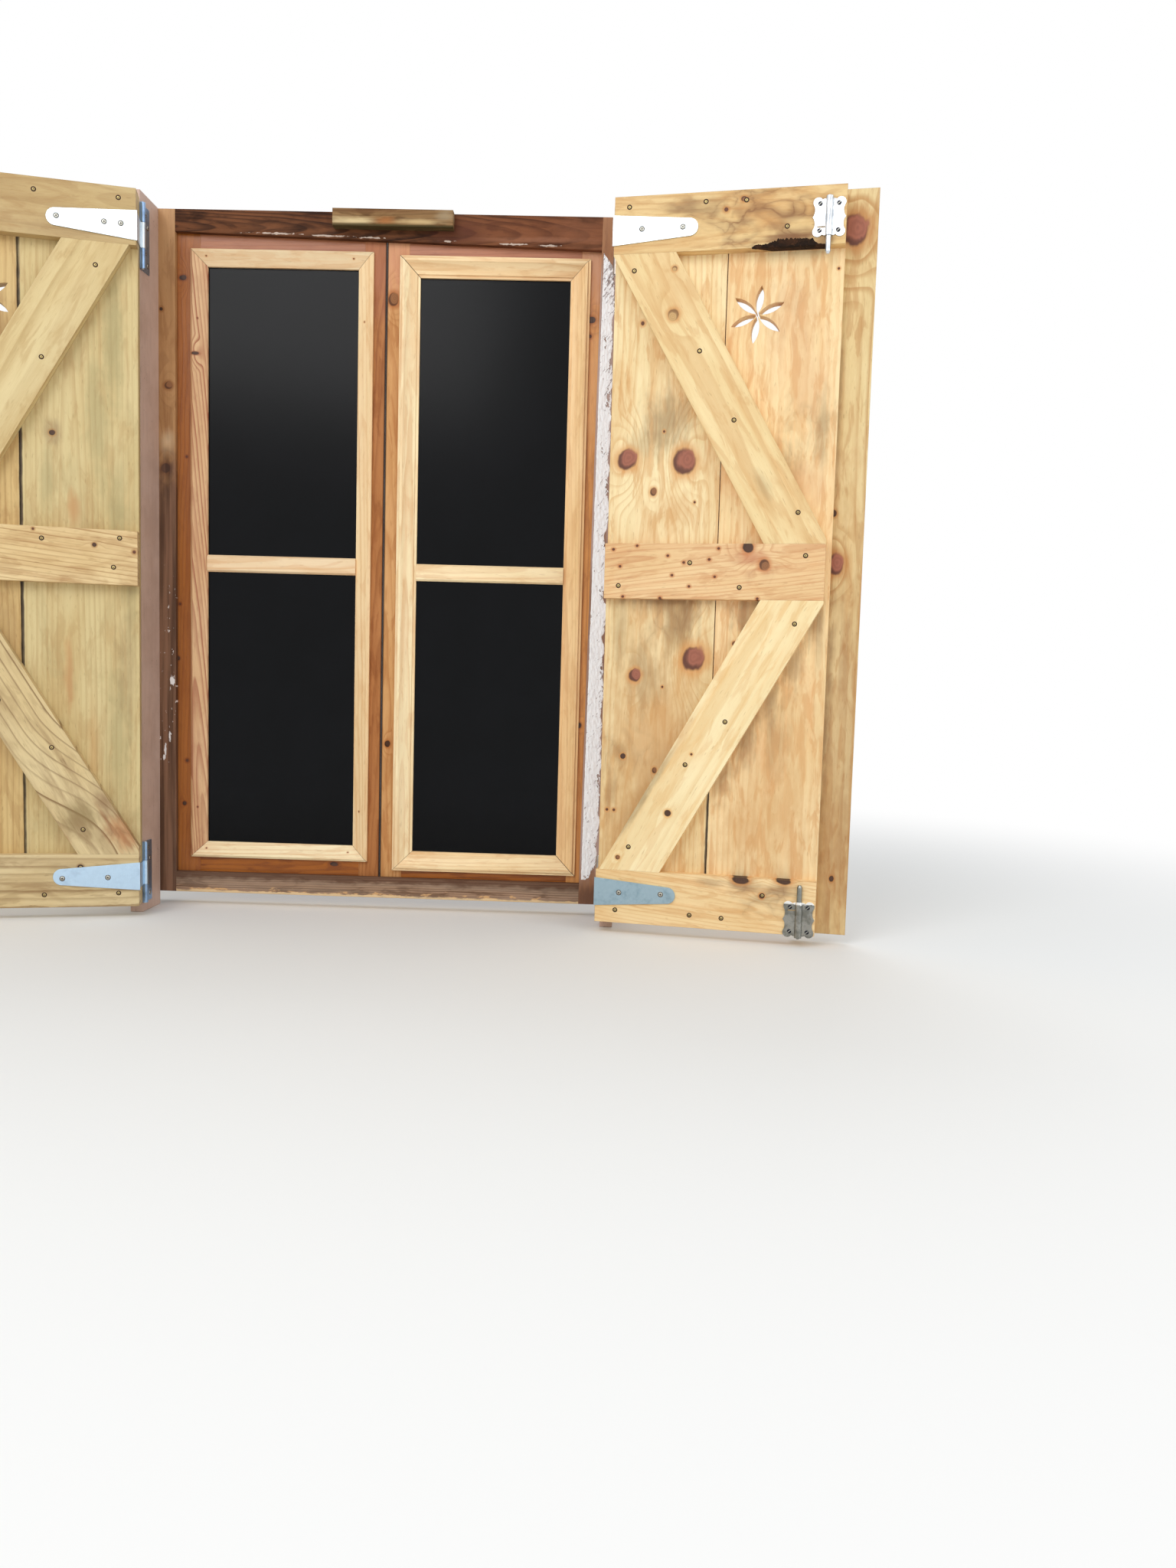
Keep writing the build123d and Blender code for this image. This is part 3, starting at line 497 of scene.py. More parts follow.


# Partly painted shade: the left shutter's woods are greyer and darker than the right's, partly their own
# colour and partly painted shade.
def dress_left_shutter():
    moss = srgb(158, 146, 100)
    shutter_wood(
        "left_hinge_board", (110, 560), depth=BOARD_FACE, light=srgb(213, 193, 141), late=srgb(172, 136, 84),
        tone=srgb(178, 158, 110), spacing=0.008, pith=(0.004, 0.0103), taper=0.034, contrast=0.4, line=0.4,
        seed=11, warp=0.003, blotch=0.6, streaks=0.3, mottle=0.25, knots=[(141, 799, 4.5, 1, "dark")],
        stains=[
            (45, 960, 22, 130, 0.6, moss), (70, 830, 24, 120, 0.5, moss), (40, 680, 22, 90, 0.5, moss),
            (141, 800, 18, 26, 0.7, GREY), (150, 720, 12, 60, 0.4, moss), (20, 560, 14, 120, 0.4, moss),
            (110, 680, 9, 34, 0.6, srgb(196, 142, 88)), (119, 400, 9, 80, 0.6, srgb(196, 146, 92)),
            # The dark line at 189 is painted shade in the gap between the boards.
            (40, 300, 24, 160, 0.45, moss), (80, 260, 10, 120, 0.3, WARM), (189, 600, 2.4, 1500, 0.95, GAP_SHADE),
            (116, 385, 8, 66, 0.6, srgb(186, 142, 92)), (106, 668, 12, 36, 0.6, srgb(190, 148, 98)),
            (26, 420, 22, 120, 0.35, GREY)])
    shutter_wood(
        "left_free_board", (290, 0), depth=BOARD_FACE, light=srgb(214, 184, 126), late=srgb(160, 120, 66),
        spacing=0.008, pith=(0.02, 0.04), taper=0.02, contrast=0.5, seed=12,
        stains=[
            (215, 400, 24, 200, 0.3, BROWN), (215, 900, 24, 160, 0.25, BROWN),
            # The dark line at 191 is painted shade in the gap between the boards.
            (191, 600, 2.6, 1500, 0.95, GAP_SHADE)])
    shutter_wood(
        "left_top_ledge", (190, 1154), (200, 1154), light=srgb(198, 172, 122), late=srgb(160, 126, 78),
        spacing=0.012, pith=(-0.02, 0.03), taper=0.04, contrast=0.45, seed=13, warp=0.012,
        stains=[(120, 1120, 14, 90, 0.35, GREY)])
    shutter_wood(
        "left_middle_ledge", (190, 596), (200, 597), light=srgb(230, 203, 152), late=srgb(160, 116, 64),
        spacing=0.0075, pith=(-0.075, 0.02), taper=0.012, contrast=0.8, line=0.6, seed=14, warp=0.004,
        knots=[(73, 616, 3.6, 1, "dark"), (10, 607, 2.6, 1, "pin"), (168, 637, 2, 1, "pin")])
    shutter_wood(
        "left_bottom_ledge", (190, 45), (200, 45), light=srgb(220, 198, 152), late=srgb(140, 108, 66),
        spacing=0.013, pith=(0.075, 0.02), taper=0.01, contrast=0.8, line=0.4, seed=15, curl=0.007,
        knots=[(99, 69, 4.5, 1, "dark")], stains=[(130, 70, 12, 60, 0.45, GREY), (170, 40, 8, 40, 0.3, GREY)])
    shutter_wood(
        "left_upper_brace", (200, 875.5), (332, 642), light=srgb(222, 202, 152), late=srgb(178, 146, 92),
        spacing=0.018, pith=(0.03, 0.05), taper=0.006, contrast=0.55, seed=16, warp=0.004, blotch=0.2,
        flecks=0.2)
    shutter_wood(
        "left_lower_brace", (188, 320.5), (325.5, 551), light=srgb(222, 200, 152), late=srgb(128, 94, 56),
        spacing=0.0155, pith=(0.095, 0.03), taper=0.02, contrast=1, line=0.74, seed=17, warp=0.005,
        blotch=0.4, mottle=0.2, flows=[(20, 130, 60, -1.1)],
        stains=[
            (34, 126, 24, 40, 0.8, srgb(186, 128, 82)), (58, 152, 5, 44, 0.6, srgb(150, 92, 52)),
            (24, 112, 5, 30, 0.5, srgb(150, 92, 52)), (100, 156, 34, 40, 0.8, srgb(134, 110, 66)),
            (121, 116, 5, 22, 0.7, srgb(176, 108, 60)), (95, 135, 14, 40, 0.6, GREY),
            (60, 178, 16, 30, 0.6, BROWN), (70, 120, 12, 40, 0.4, GREY)],
        veins=[(40, 140, 36, 40, 0.6)])


# The window's wood
def straight(origin, grain):
    """A board in the window's plane, facing outside."""
    grain = Vector(grain)
    out = Vector((0, -1, 0))
    return Board(origin, grain, out.cross(grain), out)


VARNISH = dict(light=srgb(170, 102, 42), late=srgb(116, 56, 16), spacing=0.004, contrast=0.45,
               roughness=0.34, blotch=0.3, mottle=0.15, flecks=0.2)
FIGURED = dict(VARNISH, contrast=0.6, mottle=0.4)
TAN = srgb(168, 106, 56)
STILES = {
    "left_hinge_stile": VARNISH,
    "left_meeting_stile": dict(FIGURED, light=srgb(182, 122, 74), late=srgb(128, 72, 38)),
    "right_hinge_stile": dict(FIGURED, light=srgb(222, 153, 82), late=TAN),
    "right_meeting_stile": dict(FIGURED, light=srgb(213, 162, 108), late=TAN),
}
# Knots by x and z, stains across and along the stile
STILE_KNOTS = {
    "left_hinge_stile": [
        (-0.3664, 1.0977, 0.0065, 0.7, "dark"), (-0.3594, 0.787, 0.002, 1, "pin"),
        (-0.372, 0.525, 0.0022, 1, "pin"), (-0.376, 0.427, 0.0036, 1, "dark"),
        (-0.3596, 0.241, 0.0028, 1, "brown"), (-0.3644, 0.162, 0.0036, 1, "dark")],
    "right_hinge_stile": [
        (0.36, 1.04, 0.007, 0.8, "dark"), (0.358, 1.012, 0.003, 1, "pin"),
        (0.357, 0.326, 0.0042, 1.2, "dark")],
    "right_meeting_stile": [(0.0088, 1.068, 0.009, 1.2, "brown"), (0.0085, 0.282, 0.0048, 1.2, "dark")],
}
STILE_STAINS = {
    "right_hinge_stile": [(0, 1.14, 0.05, 0.12, 0.9, srgb(204, 148, 112)),
                          (0, 0.93, 0.04, 0.14, 0.6, srgb(236, 178, 118))],
    "left_meeting_stile": [(0, 1.13, 0.05, 0.11, 0.6, srgb(172, 110, 86))],
    "right_meeting_stile": [(0, 1.14, 0.05, 0.1, 0.7, srgb(210, 148, 116))],
}
TOP_RAIL = {LEFT: srgb(168, 106, 70), RIGHT: srgb(186, 122, 90)}
BEAD = dict(light=srgb(248, 219, 172), late=srgb(214, 162, 106), spacing=0.006, contrast=0.6,
            roughness=0.42, arris=0.0008, blotch=0.25, mottle=0.25, flecks=0.2, pith=(0.01, 0.02))
BEADS = {
    "left_top_bead": srgb(236, 212, 172), "left_bottom_bead": srgb(248, 230, 188),
    "left_glazing_bar": srgb(240, 214, 176), "left_hinge_bead": srgb(222, 182, 138),
    "right_meeting_bead": srgb(253, 234, 192), "right_hinge_bead": srgb(253, 214, 158),
    "right_glazing_bar": srgb(252, 230, 186), "right_bottom_bead": srgb(252, 226, 178),
}


def dress_stile(side, name):
    low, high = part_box(name)
    x = (low.x + high.x) / 2
    edge = side * 0.5 * (high.x - low.x)
    meeting = "meeting" in name

    def joint_shade(s, colour, across, grain, streak, ripple):
        """Painted shade, darker down in the joint between the casements."""
        near = s.step(s.math("ABSOLUTE", s.add(across, -edge)), 0.0006, 0.0026, 0.9, 0)
        return s.mix(near, colour, srgb(48, 28, 18))

    dress_wood(name, straight((x, SASH_FACE, 0), UP), seed=21 + side + len(name), pith=(0.02 * side, 0.03),
               knots=[(x - knot_x, *knot) for knot_x, *knot in STILE_KNOTS.get(name, ())],
               stains=STILE_STAINS.get(name, ()), wear=joint_shade if meeting else None,
               specular=0.1 if meeting else 0.4, **STILES[name])


def dress_bead(side, name):
    """A bead round the glass, with its pins and the dark line of each mitre."""
    part = name.split("_")[1]
    upright = part in ("hinge", "meeting")
    low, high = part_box(name)
    middle = (low + high) / 2
    size = high - low
    half, wide = (size.z / 2, size.x) if upright else (size.x / 2, size.z)
    board = place = straight(middle, UP if upright else LEVEL)
    inward = {"hinge": -side, "meeting": side, "top": 1, "bottom": -1}.get(part, 0)
    pins = (-0.83, 0.78) if inward and side == LEFT else ()
    spots = [(0.002, share * half, 0.0011, 1.3, "pin") for share in pins]
    look = dict(BEAD, light=BEADS.get(name, BEAD["light"]))
    if name == "left_hinge_bead":
        look.update(late=srgb(156, 84, 52), contrast=0.95, line=0.3, spacing=0.0046, pith=(0.03, 0.012),
                    taper=0.008, warp=0.004, mottle=0.15)
        board = straight(middle, (-0.075, 0, 1))
        spots.append((0.006, 0.361, 0.006, 0.45, "dark"))
    spots = [(*board.place(place.point(x, y)), *knot) for x, y, *knot in spots]

    def mitres(s, colour, across, grain, streak, ripple):
        run, wander = s.along(middle, place.grain), s.along(middle, place.across)
        gap = s.add(s.math("ABSOLUTE", run), s.add(s.times(wander, -inward), wide / 2 - half))
        line = s.step(s.math("ABSOLUTE", gap), 0.0004, 0.0011, 0.45, 0)
        if side == RIGHT:
            turn = -inward if upright else inward
            line = s.times(line, s.step(s.times(run, turn), -0.01, 0.01, 2.1, 1))
        return s.mix(line, colour, srgb(74, 44, 26))

    dress_wood(name, board, seed=31 + side + len(name), knots=spots, wear=mitres if inward else None,
               **look)


def dress_casements():
    deep = dict(FIGURED, light=srgb(166, 94, 22), late=srgb(100, 44, 8))
    for side, name in NAMES.items():
        for stile in ("hinge", "meeting"):
            dress_stile(side, f"{name}_{stile}_stile")
        rosy = dict(VARNISH, light=TOP_RAIL[side], late=srgb(124, 68, 42), contrast=0.3)
        for rail, depth, look in (("top_rail", 0.02, rosy), ("bottom_rail", 0.04, deep)):
            rail = f"{name}_sash_{rail}"
            low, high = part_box(rail)
            spots = [(0.002, -0.087, 0.0036, 1.9, "dark")] if rail == "left_sash_bottom_rail" else []
            dress_wood(rail, straight((0, SASH_FACE, (low.z + high.z) / 2), LEVEL), seed=27 + side + depth,
                       pith=(0.01, depth), knots=spots, **look)
        for part in ("hinge_bead", "meeting_bead", "top_bead", "bottom_bead", "glazing_bar"):
            dress_bead(side, f"{name}_{part}")
        dress(f"{name}_glass", pane(f"{name}_pane"))


def pane(name):
    s = Shader(name, Transmission_Weight=1, Roughness=0.2, IOR=1.22)
    # Painted shade: the near-black tint stands in for the dark room behind the glass.
    tint_mottle = s.noise(s.point, 9, 3, 0.6)
    return s.finish(s.mix(s.step(tint_mottle, 0.3, 0.7), srgb(8, 9, 12), srgb(5, 6, 8)))


def dress_frame():
    def weathered(s, colour, across, grain, streak, ripple):
        """Greyed and split below, with splinters of old white paint."""
        low = s.step(s.add(grain, s.sway(ripple, 0.14)), 0.72, 0.84, 0.9, 0)
        grey = s.mix(s.step(streak, 0.38, 0.62), srgb(131, 94, 73), srgb(70, 44, 32))
        colour = s.mix(low, colour, grey)
        chips = s.noise(s.vector(across, 0, s.times(grain, 0.45)), 170, 3, 0.7)
        band = s.times(s.step(grain, 0.18, 0.3), s.step(grain, 0.5, 0.62, 1, 0))
        colour = s.mix(s.times(s.step(chips, 0.64, 0.67), band), colour, srgb(226, 218, 212))
        for x, y, wide, tall in ((-0.0084, 0.387, 0.005, 0.011), (-0.0035, 0.287, 0.003, 0.012),
                                 (0.004, 0.262, 0.003, 0.012), (0.007, 0.247, 0.003, 0.006)):
            near = s.add(s.reach(across, grain, x, y, wide, tall), s.sway(chips, 3))
            colour = s.mix(s.step(near, 0.7, 0.9, 1, 0), colour, srgb(236, 232, 230))
        return colour

    dress_wood(
        "frame_jamb_left", straight((-JAMB_X, FRAME_FACE, 0), UP), seed=41, light=srgb(189, 144, 97),
        late=srgb(140, 94, 54), spacing=0.006, pith=(0.01, 0.04), contrast=0.4, roughness=0.5, wear=weathered,
        knots=[
            (0.0099, 1.04, 0.003, 1, "dark"), (-0.0028, 0.9086, 0.007, 0.9, "brown"),
            (0.003, 0.764, 0.007, 1.2, "dark")],
        stains=[(0, 0.81, 0.014, 0.03, 0.8, srgb(226, 196, 156))])

    def old_paint_marks(s, colour, across, grain, streak, ripple):
        """Bare wood gone purple-brown where the old paint was."""
        faded = s.times(s.step(grain, 0.02, 0.1), s.step(grain, 1.1, 1.15, 1, 0))
        tone = s.mix(s.step(streak, 0.4, 0.65), srgb(186, 162, 154), srgb(146, 110, 90))
        return s.mix(s.times(faded, 0.9), colour, tone)

    dress_wood(
        "frame_jamb_right", straight((JAMB_X, FRAME_FACE, 0), UP), seed=42, light=srgb(176, 124, 84),
        late=srgb(130, 84, 54), spacing=0.006, pith=(0.01, 0.04), contrast=0.5, roughness=0.5, wear=old_paint_marks,
        stains=[(0, 0.01, 0.05, 0.045, 0.85, srgb(98, 64, 46))])

    def pale_edge_streaks(s, colour, across, grain, streak, ripple):
        """Pale streaks along the lower edge."""
        flake = s.noise(s.vector(s.times(grain, 0.5), across, 0), 200, 3, 0.65)
        for y, tall in ((-0.2, 0.045), (-0.1, 0.03), (-0.03, 0.02), (0.105, 0.012), (0.22, 0.024),
                        (0.287, 0.018)):
            edge = -0.0112 - HEAD_SLOPE * y
            near = s.add(s.reach(across, grain, edge, y, 0.0016, tall), s.sway(flake, 4))
            colour = s.mix(s.step(near, 0.7, 1, 0.8, 0), colour, srgb(206, 186, 170))
        return colour

    dress_wood(
        "frame_head", straight((0, FRAME_FACE, 1.179), LEVEL), seed=43, light=srgb(115, 71, 44),
        late=srgb(26, 11, 6), spacing=0.0046, line=0.3, pith=(0.002, 0.032), taper=0.06, warp=0.006,
        contrast=0.95, roughness=0.6, blotch=0.7, mottle=0.5, specular=0.12, wear=pale_edge_streaks,
        stains=[
            (0, 0.27, 0.05, 0.24, 0.2, srgb(164, 96, 66)), (0, 0.36, 0.05, 0.08, 0.4, srgb(160, 104, 74)),
            (-0.009, 0.26, 0.006, 0.14, 0.4, srgb(172, 118, 90)),
            (0, 0.12, 0.03, 0.07, 0.6, srgb(80, 42, 32))])

    def foot_wear(s, colour, across, grain, streak, ripple):
        """Greyed, with paler broken wood along the lower edge."""
        grey = s.step(streak, 0.35, 0.6)
        colour = s.mix(s.times(grey, 0.45), colour, srgb(146, 126, 108))
        dark = s.step(s.add(across, s.sway(ripple, 0.02)), 0.002, 0.012, 0, 0.75)
        colour = s.mix(dark, colour, srgb(84, 52, 36))
        splinter = s.noise(s.vector(s.times(grain, 0.35), across, 0), 110, 3, 0.6)
        low = s.step(s.add(across, s.sway(splinter, 0.05)), -0.018, -0.013, 0.9, 0)
        colour = s.mix(low, colour, s.mix(s.step(splinter, 0.4, 0.6), srgb(212, 166, 116), srgb(150, 96, 58)))
        rim = s.step(s.add(across, s.sway(splinter, 0.01)), -0.016, -0.0142, 0.8, 0)
        return s.mix(rim, colour, srgb(228, 198, 154))

    dress_wood(
        "frame_bottom_rail", straight((0, FRAME_FACE, 0.019), LEVEL), seed=44, light=srgb(172, 140, 116),
        late=srgb(92, 66, 50), spacing=0.004, pith=(0.05, 0.02), contrast=0.9, roughness=0.7, mottle=0.6,
        specular=0.15, wear=foot_wear)
    dress_wood(
        "head_block", straight((0.011, -0.043, 1.2), LEVEL), seed=45, light=srgb(151, 118, 80),
        late=srgb(78, 50, 28), spacing=0.005, pith=(0.02, 0.03), contrast=0.7, roughness=0.75, blotch=0.6,
        mottle=0.6, specular=0.15,
        stains=[
            (-0.009, -0.075, 0.0075, 0.055, 0.85, srgb(222, 198, 150)),
            (-0.0095, 0.045, 0.0065, 0.05, 0.75, srgb(214, 184, 134)),
            (-0.0085, -0.014, 0.008, 0.022, 0.85, srgb(168, 110, 64)),
            # Painted shadow: the brown band along the top stands in for the shadow of the beam above.
            (0.007, -0.02, 0.005, 0.12, 0.6, srgb(124, 86, 56)),
            (0, 0.09, 0.014, 0.02, 0.6, srgb(168, 150, 120)),
            (-0.017, 0, 0.004, 0.3, 0.9, srgb(66, 58, 32))])
    dress_wood(
        "turn_button", straight((0, 0.03, 1.196), LEVEL), seed=46, light=srgb(120, 80, 48),
        late=srgb(78, 46, 26), spacing=0.003, pith=(0.02, 0.02), roughness=0.45)
    for name in NAMES.values():
        s = Shader(f"lining_{name}_paint", Specular_IOR_Level=0.4)
        x, y, z = s.parts(s.point)
        cloud = s.noise(s.point, 14, 3, 0.6)
        brush = s.noise(s.vector(x, y, s.times(z, 0.04)), 320, 2, 0.5)
        colour = s.mix(s.step(cloud, 0.35, 0.7), srgb(208, 178, 162), srgb(194, 163, 146))
        colour = s.mix(s.step(brush, 0.5, 0.8, 0, 0.25), colour, srgb(150, 114, 94))
        crack = s.noise(s.vector(x, y, s.times(z, 0.7)), 26, 3, 0.6, distortion=1.2)
        sparse = s.step(s.noise(s.point, 7), 0.55, 0.65)
        crack = s.times(s.step(s.math("ABSOLUTE", s.add(crack, -0.5)), 0, 0.006, 0.6, 0), sparse)
        colour = s.mix(crack, colour, srgb(110, 78, 62))
        speck = s.noise(s.point, 260, 1, 0.5)
        colour = s.mix(s.step(speck, 0.74, 0.78, 0, 0.5), colour, srgb(104, 72, 58))
        s.relief(brush, 0.0004, 0.0012)
        dress(f"lining_{name}", s.finish(colour, 0.5))


# Metal
def zinc(name, colour, dull, roughness, arris=0.0006, patches=(0.45, 0.8), painted_glint_top=None):
    """Zinc plate: faint crystals, scuffs and a brushed sheen, with an optional painted highlight along its
    top edge.
    """
    s = Shader(name, Metallic=1)
    cells = s.node("ShaderNodeTexVoronoi")
    s.plug(cells.inputs["Vector"], s.point)
    cells.inputs["Scale"].default_value = 220
    flake = s.parts(cells.outputs["Color"])[0]
    x, y, z = s.parts(s.point)
    cloud = s.noise(s.point, 45, 3, 0.65)
    tone = s.mix(s.times(flake, 0.35), colour, s.tint(colour, 0.86, 0.88, 0.9))
    tone = s.mix(s.step(cloud, *patches, 0, 0.75), tone, dull)
    # Painted highlight: a white glint just below the given top edge
    if painted_glint_top:
        wavy = s.add(z, s.sway(flake, 0.0016))
        tone = s.mix(s.step(wavy, painted_glint_top - 0.0054, painted_glint_top - 0.004), tone, srgb(252, 253, 252))
    scuff = s.noise(s.vector(x, y, s.times(z, 0.1)), 500, 2, 0.6)
    s.relief(scuff, 0.0002, arris)
    return s.finish(tone, s.add(s.times(cloud, 0.2), roughness - 0.1))


def dress_metal():
    strap = zinc("strap_zinc", srgb(220, 229, 235), srgb(188, 202, 212), 0.42)
    # Painted reflection: the blue in the bottom straps' tints, strongest on the left, and in the left hinge
    # leaves stands in for reflected sky.
    lower = {LEFT: (srgb(200, 226, 248), srgb(172, 196, 218)),
             RIGHT: (srgb(166, 190, 202), srgb(126, 152, 166))}
    leaf = {LEFT: (srgb(150, 180, 216), srgb(100, 120, 150)),
            RIGHT: (srgb(176, 166, 158), srgb(132, 118, 108))}
    steel = (srgb(150, 146, 140), srgb(110, 100, 92), 0.45)
    for side, name in NAMES.items():
        dress(f"{name}_top_strap", strap)
        dress(f"{name}_bottom_strap", zinc(f"{name}_strap_zinc", *lower[side], 0.42))
        dress(f"{name}_hinge_leaves", zinc(f"{name}_leaf_zinc", *leaf[side], 0.4))
        dress(f"{name}_sash_hinge_leaves", zinc(f"{name}_butt_steel", *steel))
    dress("shutter_hinge_pins", strap)
    butt = zinc("butt_steel", *steel)
    dress("frame_hinge_leaves", butt)
    dress("casement_hinge_pins", butt)
    top = zinc("top_bolt_zinc", srgb(224, 228, 232), srgb(176, 182, 188), 0.3, patches=(0.45, 0.65))
    dress("top_bolt_case", top)
    dress("top_bolt_rod", top)
    grey = dict(patches=(0.4, 0.66))
    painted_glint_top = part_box("bottom_bolt_case")[1].z
    bottom = zinc("bottom_bolt_zinc", srgb(166, 166, 160), srgb(108, 108, 100), 0.28, painted_glint_top=painted_glint_top, **grey)
    dress("bottom_bolt_case", bottom)
    dress("bottom_bolt_rod", zinc("rod_zinc", srgb(146, 148, 142), srgb(98, 100, 94), 0.3, **grey))


# Small fixings
def ring(bm, frame, radius, height, count=20):
    angles = [2 * pi * i / count for i in range(count)]
    return [bm.verts.new(frame @ Vector((radius * cos(a), radius * sin(a), height))) for a in angles]


def skirt(bm, lower, upper, slot):
    for i in range(len(lower)):
        j = (i + 1) % len(lower)
        bm.faces.new((lower[i], lower[j], upper[j], upper[i])).material_index = slot


def screw(bm, frame, radius, hole=0, slotted=False):
    """A screw head on a surface: given a hole, a dark ring of painted shade for it; the dished head; and the
    recess for the driver. Ring and recess take the second material.
    """
    if hole:
        rim = ring(bm, frame, hole, 0.00005)
        lip = ring(bm, frame, hole * 0.92, 0.00022)
        inner = ring(bm, frame, radius, 0.0001)
        skirt(bm, rim, lip, 1)
        skirt(bm, lip, inner, 1)
    base = ring(bm, frame, radius, 0.0001)
    edge = ring(bm, frame, radius * 0.94, 0.0005)
    middle = ring(bm, frame, radius * 0.6, 0.00065)
    skirt(bm, base, edge, 0)
    skirt(bm, edge, middle, 0)
    bm.faces.new(middle).material_index = 0
    arm = radius * (0.9 if slotted else 0.55)
    half = radius * 0.13
    for turn in ((0,) if slotted else (0, pi / 2)):
        spin = frame @ Matrix.Rotation(turn, 4, "Z")
        corners = [spin @ Vector((x, y, 0.00072))
                   for x, y in ((-arm, -half), (arm, -half), (arm, half), (-arm, half))]
        bm.faces.new([bm.verts.new(corner) for corner in corners]).material_index = 1


def facing(point, normal, turn=0):
    """A frame on a surface, with z along its normal."""
    normal = Vector(normal).normalized()
    spin = normal.to_track_quat("Z", "Y").to_matrix().to_4x4() @ Matrix.Rotation(turn, 4, "Z")
    return Matrix.Translation(point) @ spin


def add_object(name, data):
    made = bpy.data.objects.new(name, data)
    scene.collection.objects.link(made)
    return made


def add_mesh(name, build):
    bm = bmesh.new()
    build(bm)
    mesh = bpy.data.meshes.new(name)
    bm.normal_update()
    bm.to_mesh(mesh)
    bm.free()
    return add_object(name, mesh)


def piece(name, body, materials, build):
    made = add_mesh(name, build)
    mesh = made.data
    for material in materials:
        mesh.materials.append(material)
    for face in mesh.polygons:
        face.use_smooth = True
    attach(made, body)


# Places on the shutters, in millimetres
WOOD_SCREWS = {
    RIGHT: [
        (29, 1183), (154, 1185), (219, 1184), (285, 1140), (40, 1082), (152, 951), (212, 840), (321, 692),
        (29, 572), (148, 610.5), (231, 571), (336, 623), (323, 513), (216, 350), (152, 276), (60, 132),
        (40, 22), (168, 21.5), (222, 20), (289, 63)],
    LEFT: [
        (161, 1180), (32, 1182), (285, 1142), (68, 1071), (152, 916), (232, 830), (322, 690), (155, 622.5),
        (33, 629), (43, 580), (250, 575), (340, 620), (330, 515), (225, 352), (143, 274), (94.5, 134),
        (157, 22), (38, 23.5), (99, 69), (240, 22), (320, 60)],
}
STRAP_SCREWS = {
    RIGHT: [(51, 1147), (118, 1147), (46, 52.5), (118, 54)],
    LEFT: [(28, 1141), (54, 1141), (127, 1142), (55, 51), (128, 50)],
}


def make_fixings():
    """The screws of the ledges, braces, straps, leaves and bolts."""
    # Painted shade: the dark second material of the wood and strap screws stands in for the shade down in
    # their holes and driver recesses.
    dark = Shader("screw_hole_shade", Roughness=0.8)
    spot = dark.noise(dark.point, 600)
    hole = dark.finish(dark.mix(spot, srgb(44, 26, 14), srgb(70, 44, 24)))
    yellow = zinc("yellow_screw", srgb(196, 176, 120), srgb(120, 100, 66), 0.4, 0)
    plain = zinc("zinc_screw", srgb(190, 190, 180), srgb(140, 136, 120), 0.4, 0)
    black = zinc("black_screw", srgb(60, 60, 66), srgb(36, 36, 40), 0.5, 0)
    for side, name in NAMES.items():
        face = face_direction(side)
        body = f"{name}_shutter"

        def wood_screws(bm):
            for i, (t, z) in enumerate(WOOD_SCREWS[side]):
                screw(bm, facing(on_shutter(side, t, z), face, i * 1.3), 0.0024, hole=0.0042)

        def strap_screws(bm):
            for i, (t, z) in enumerate(STRAP_SCREWS[side]):
                at = on_shutter(side, t, z, LEDGE_FACE + 0.002)
                screw(bm, facing(at, face, i * 1.1), 0.0036, hole=0.0046)

        def leaf_screws(bm):
            for end in ("bottom", "top"):
                low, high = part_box(f"{name}_{end}_strap")
                middle = (low.z + high.z) / 2
                for i, step in enumerate((-0.041, -0.022, 0.022, 0.041)):
                    at = Vector((side * 0.4037, HINGE_Y + (0.019 if i % 2 else 0.028), middle + step))
                    screw(bm, facing(at, (-side, 0, 0), i * 0.9), 0.0034, hole=0.0044)

        piece(f"{name}_wood_screws", body, [yellow, hole], wood_screws)
        piece(f"{name}_strap_screws", body, [plain, hole], strap_screws)
        piece(f"{name}_leaf_screws", "frame", [plain, hole], leaf_screws)

    def case_screws(bm):
        for z in (1150.5, 27):
            for across in (-14.5, 14.5):
                for up in (-20.5, 20.5):
                    at = on_shutter(RIGHT, 350 + across, z + up, LEDGE_FACE + 0.0016)
                    screw(bm, facing(at, face_direction(RIGHT), 0.7), 0.0036, slotted=True)

    piece("bolt_screws", "right_shutter", [black, plain], case_screws)


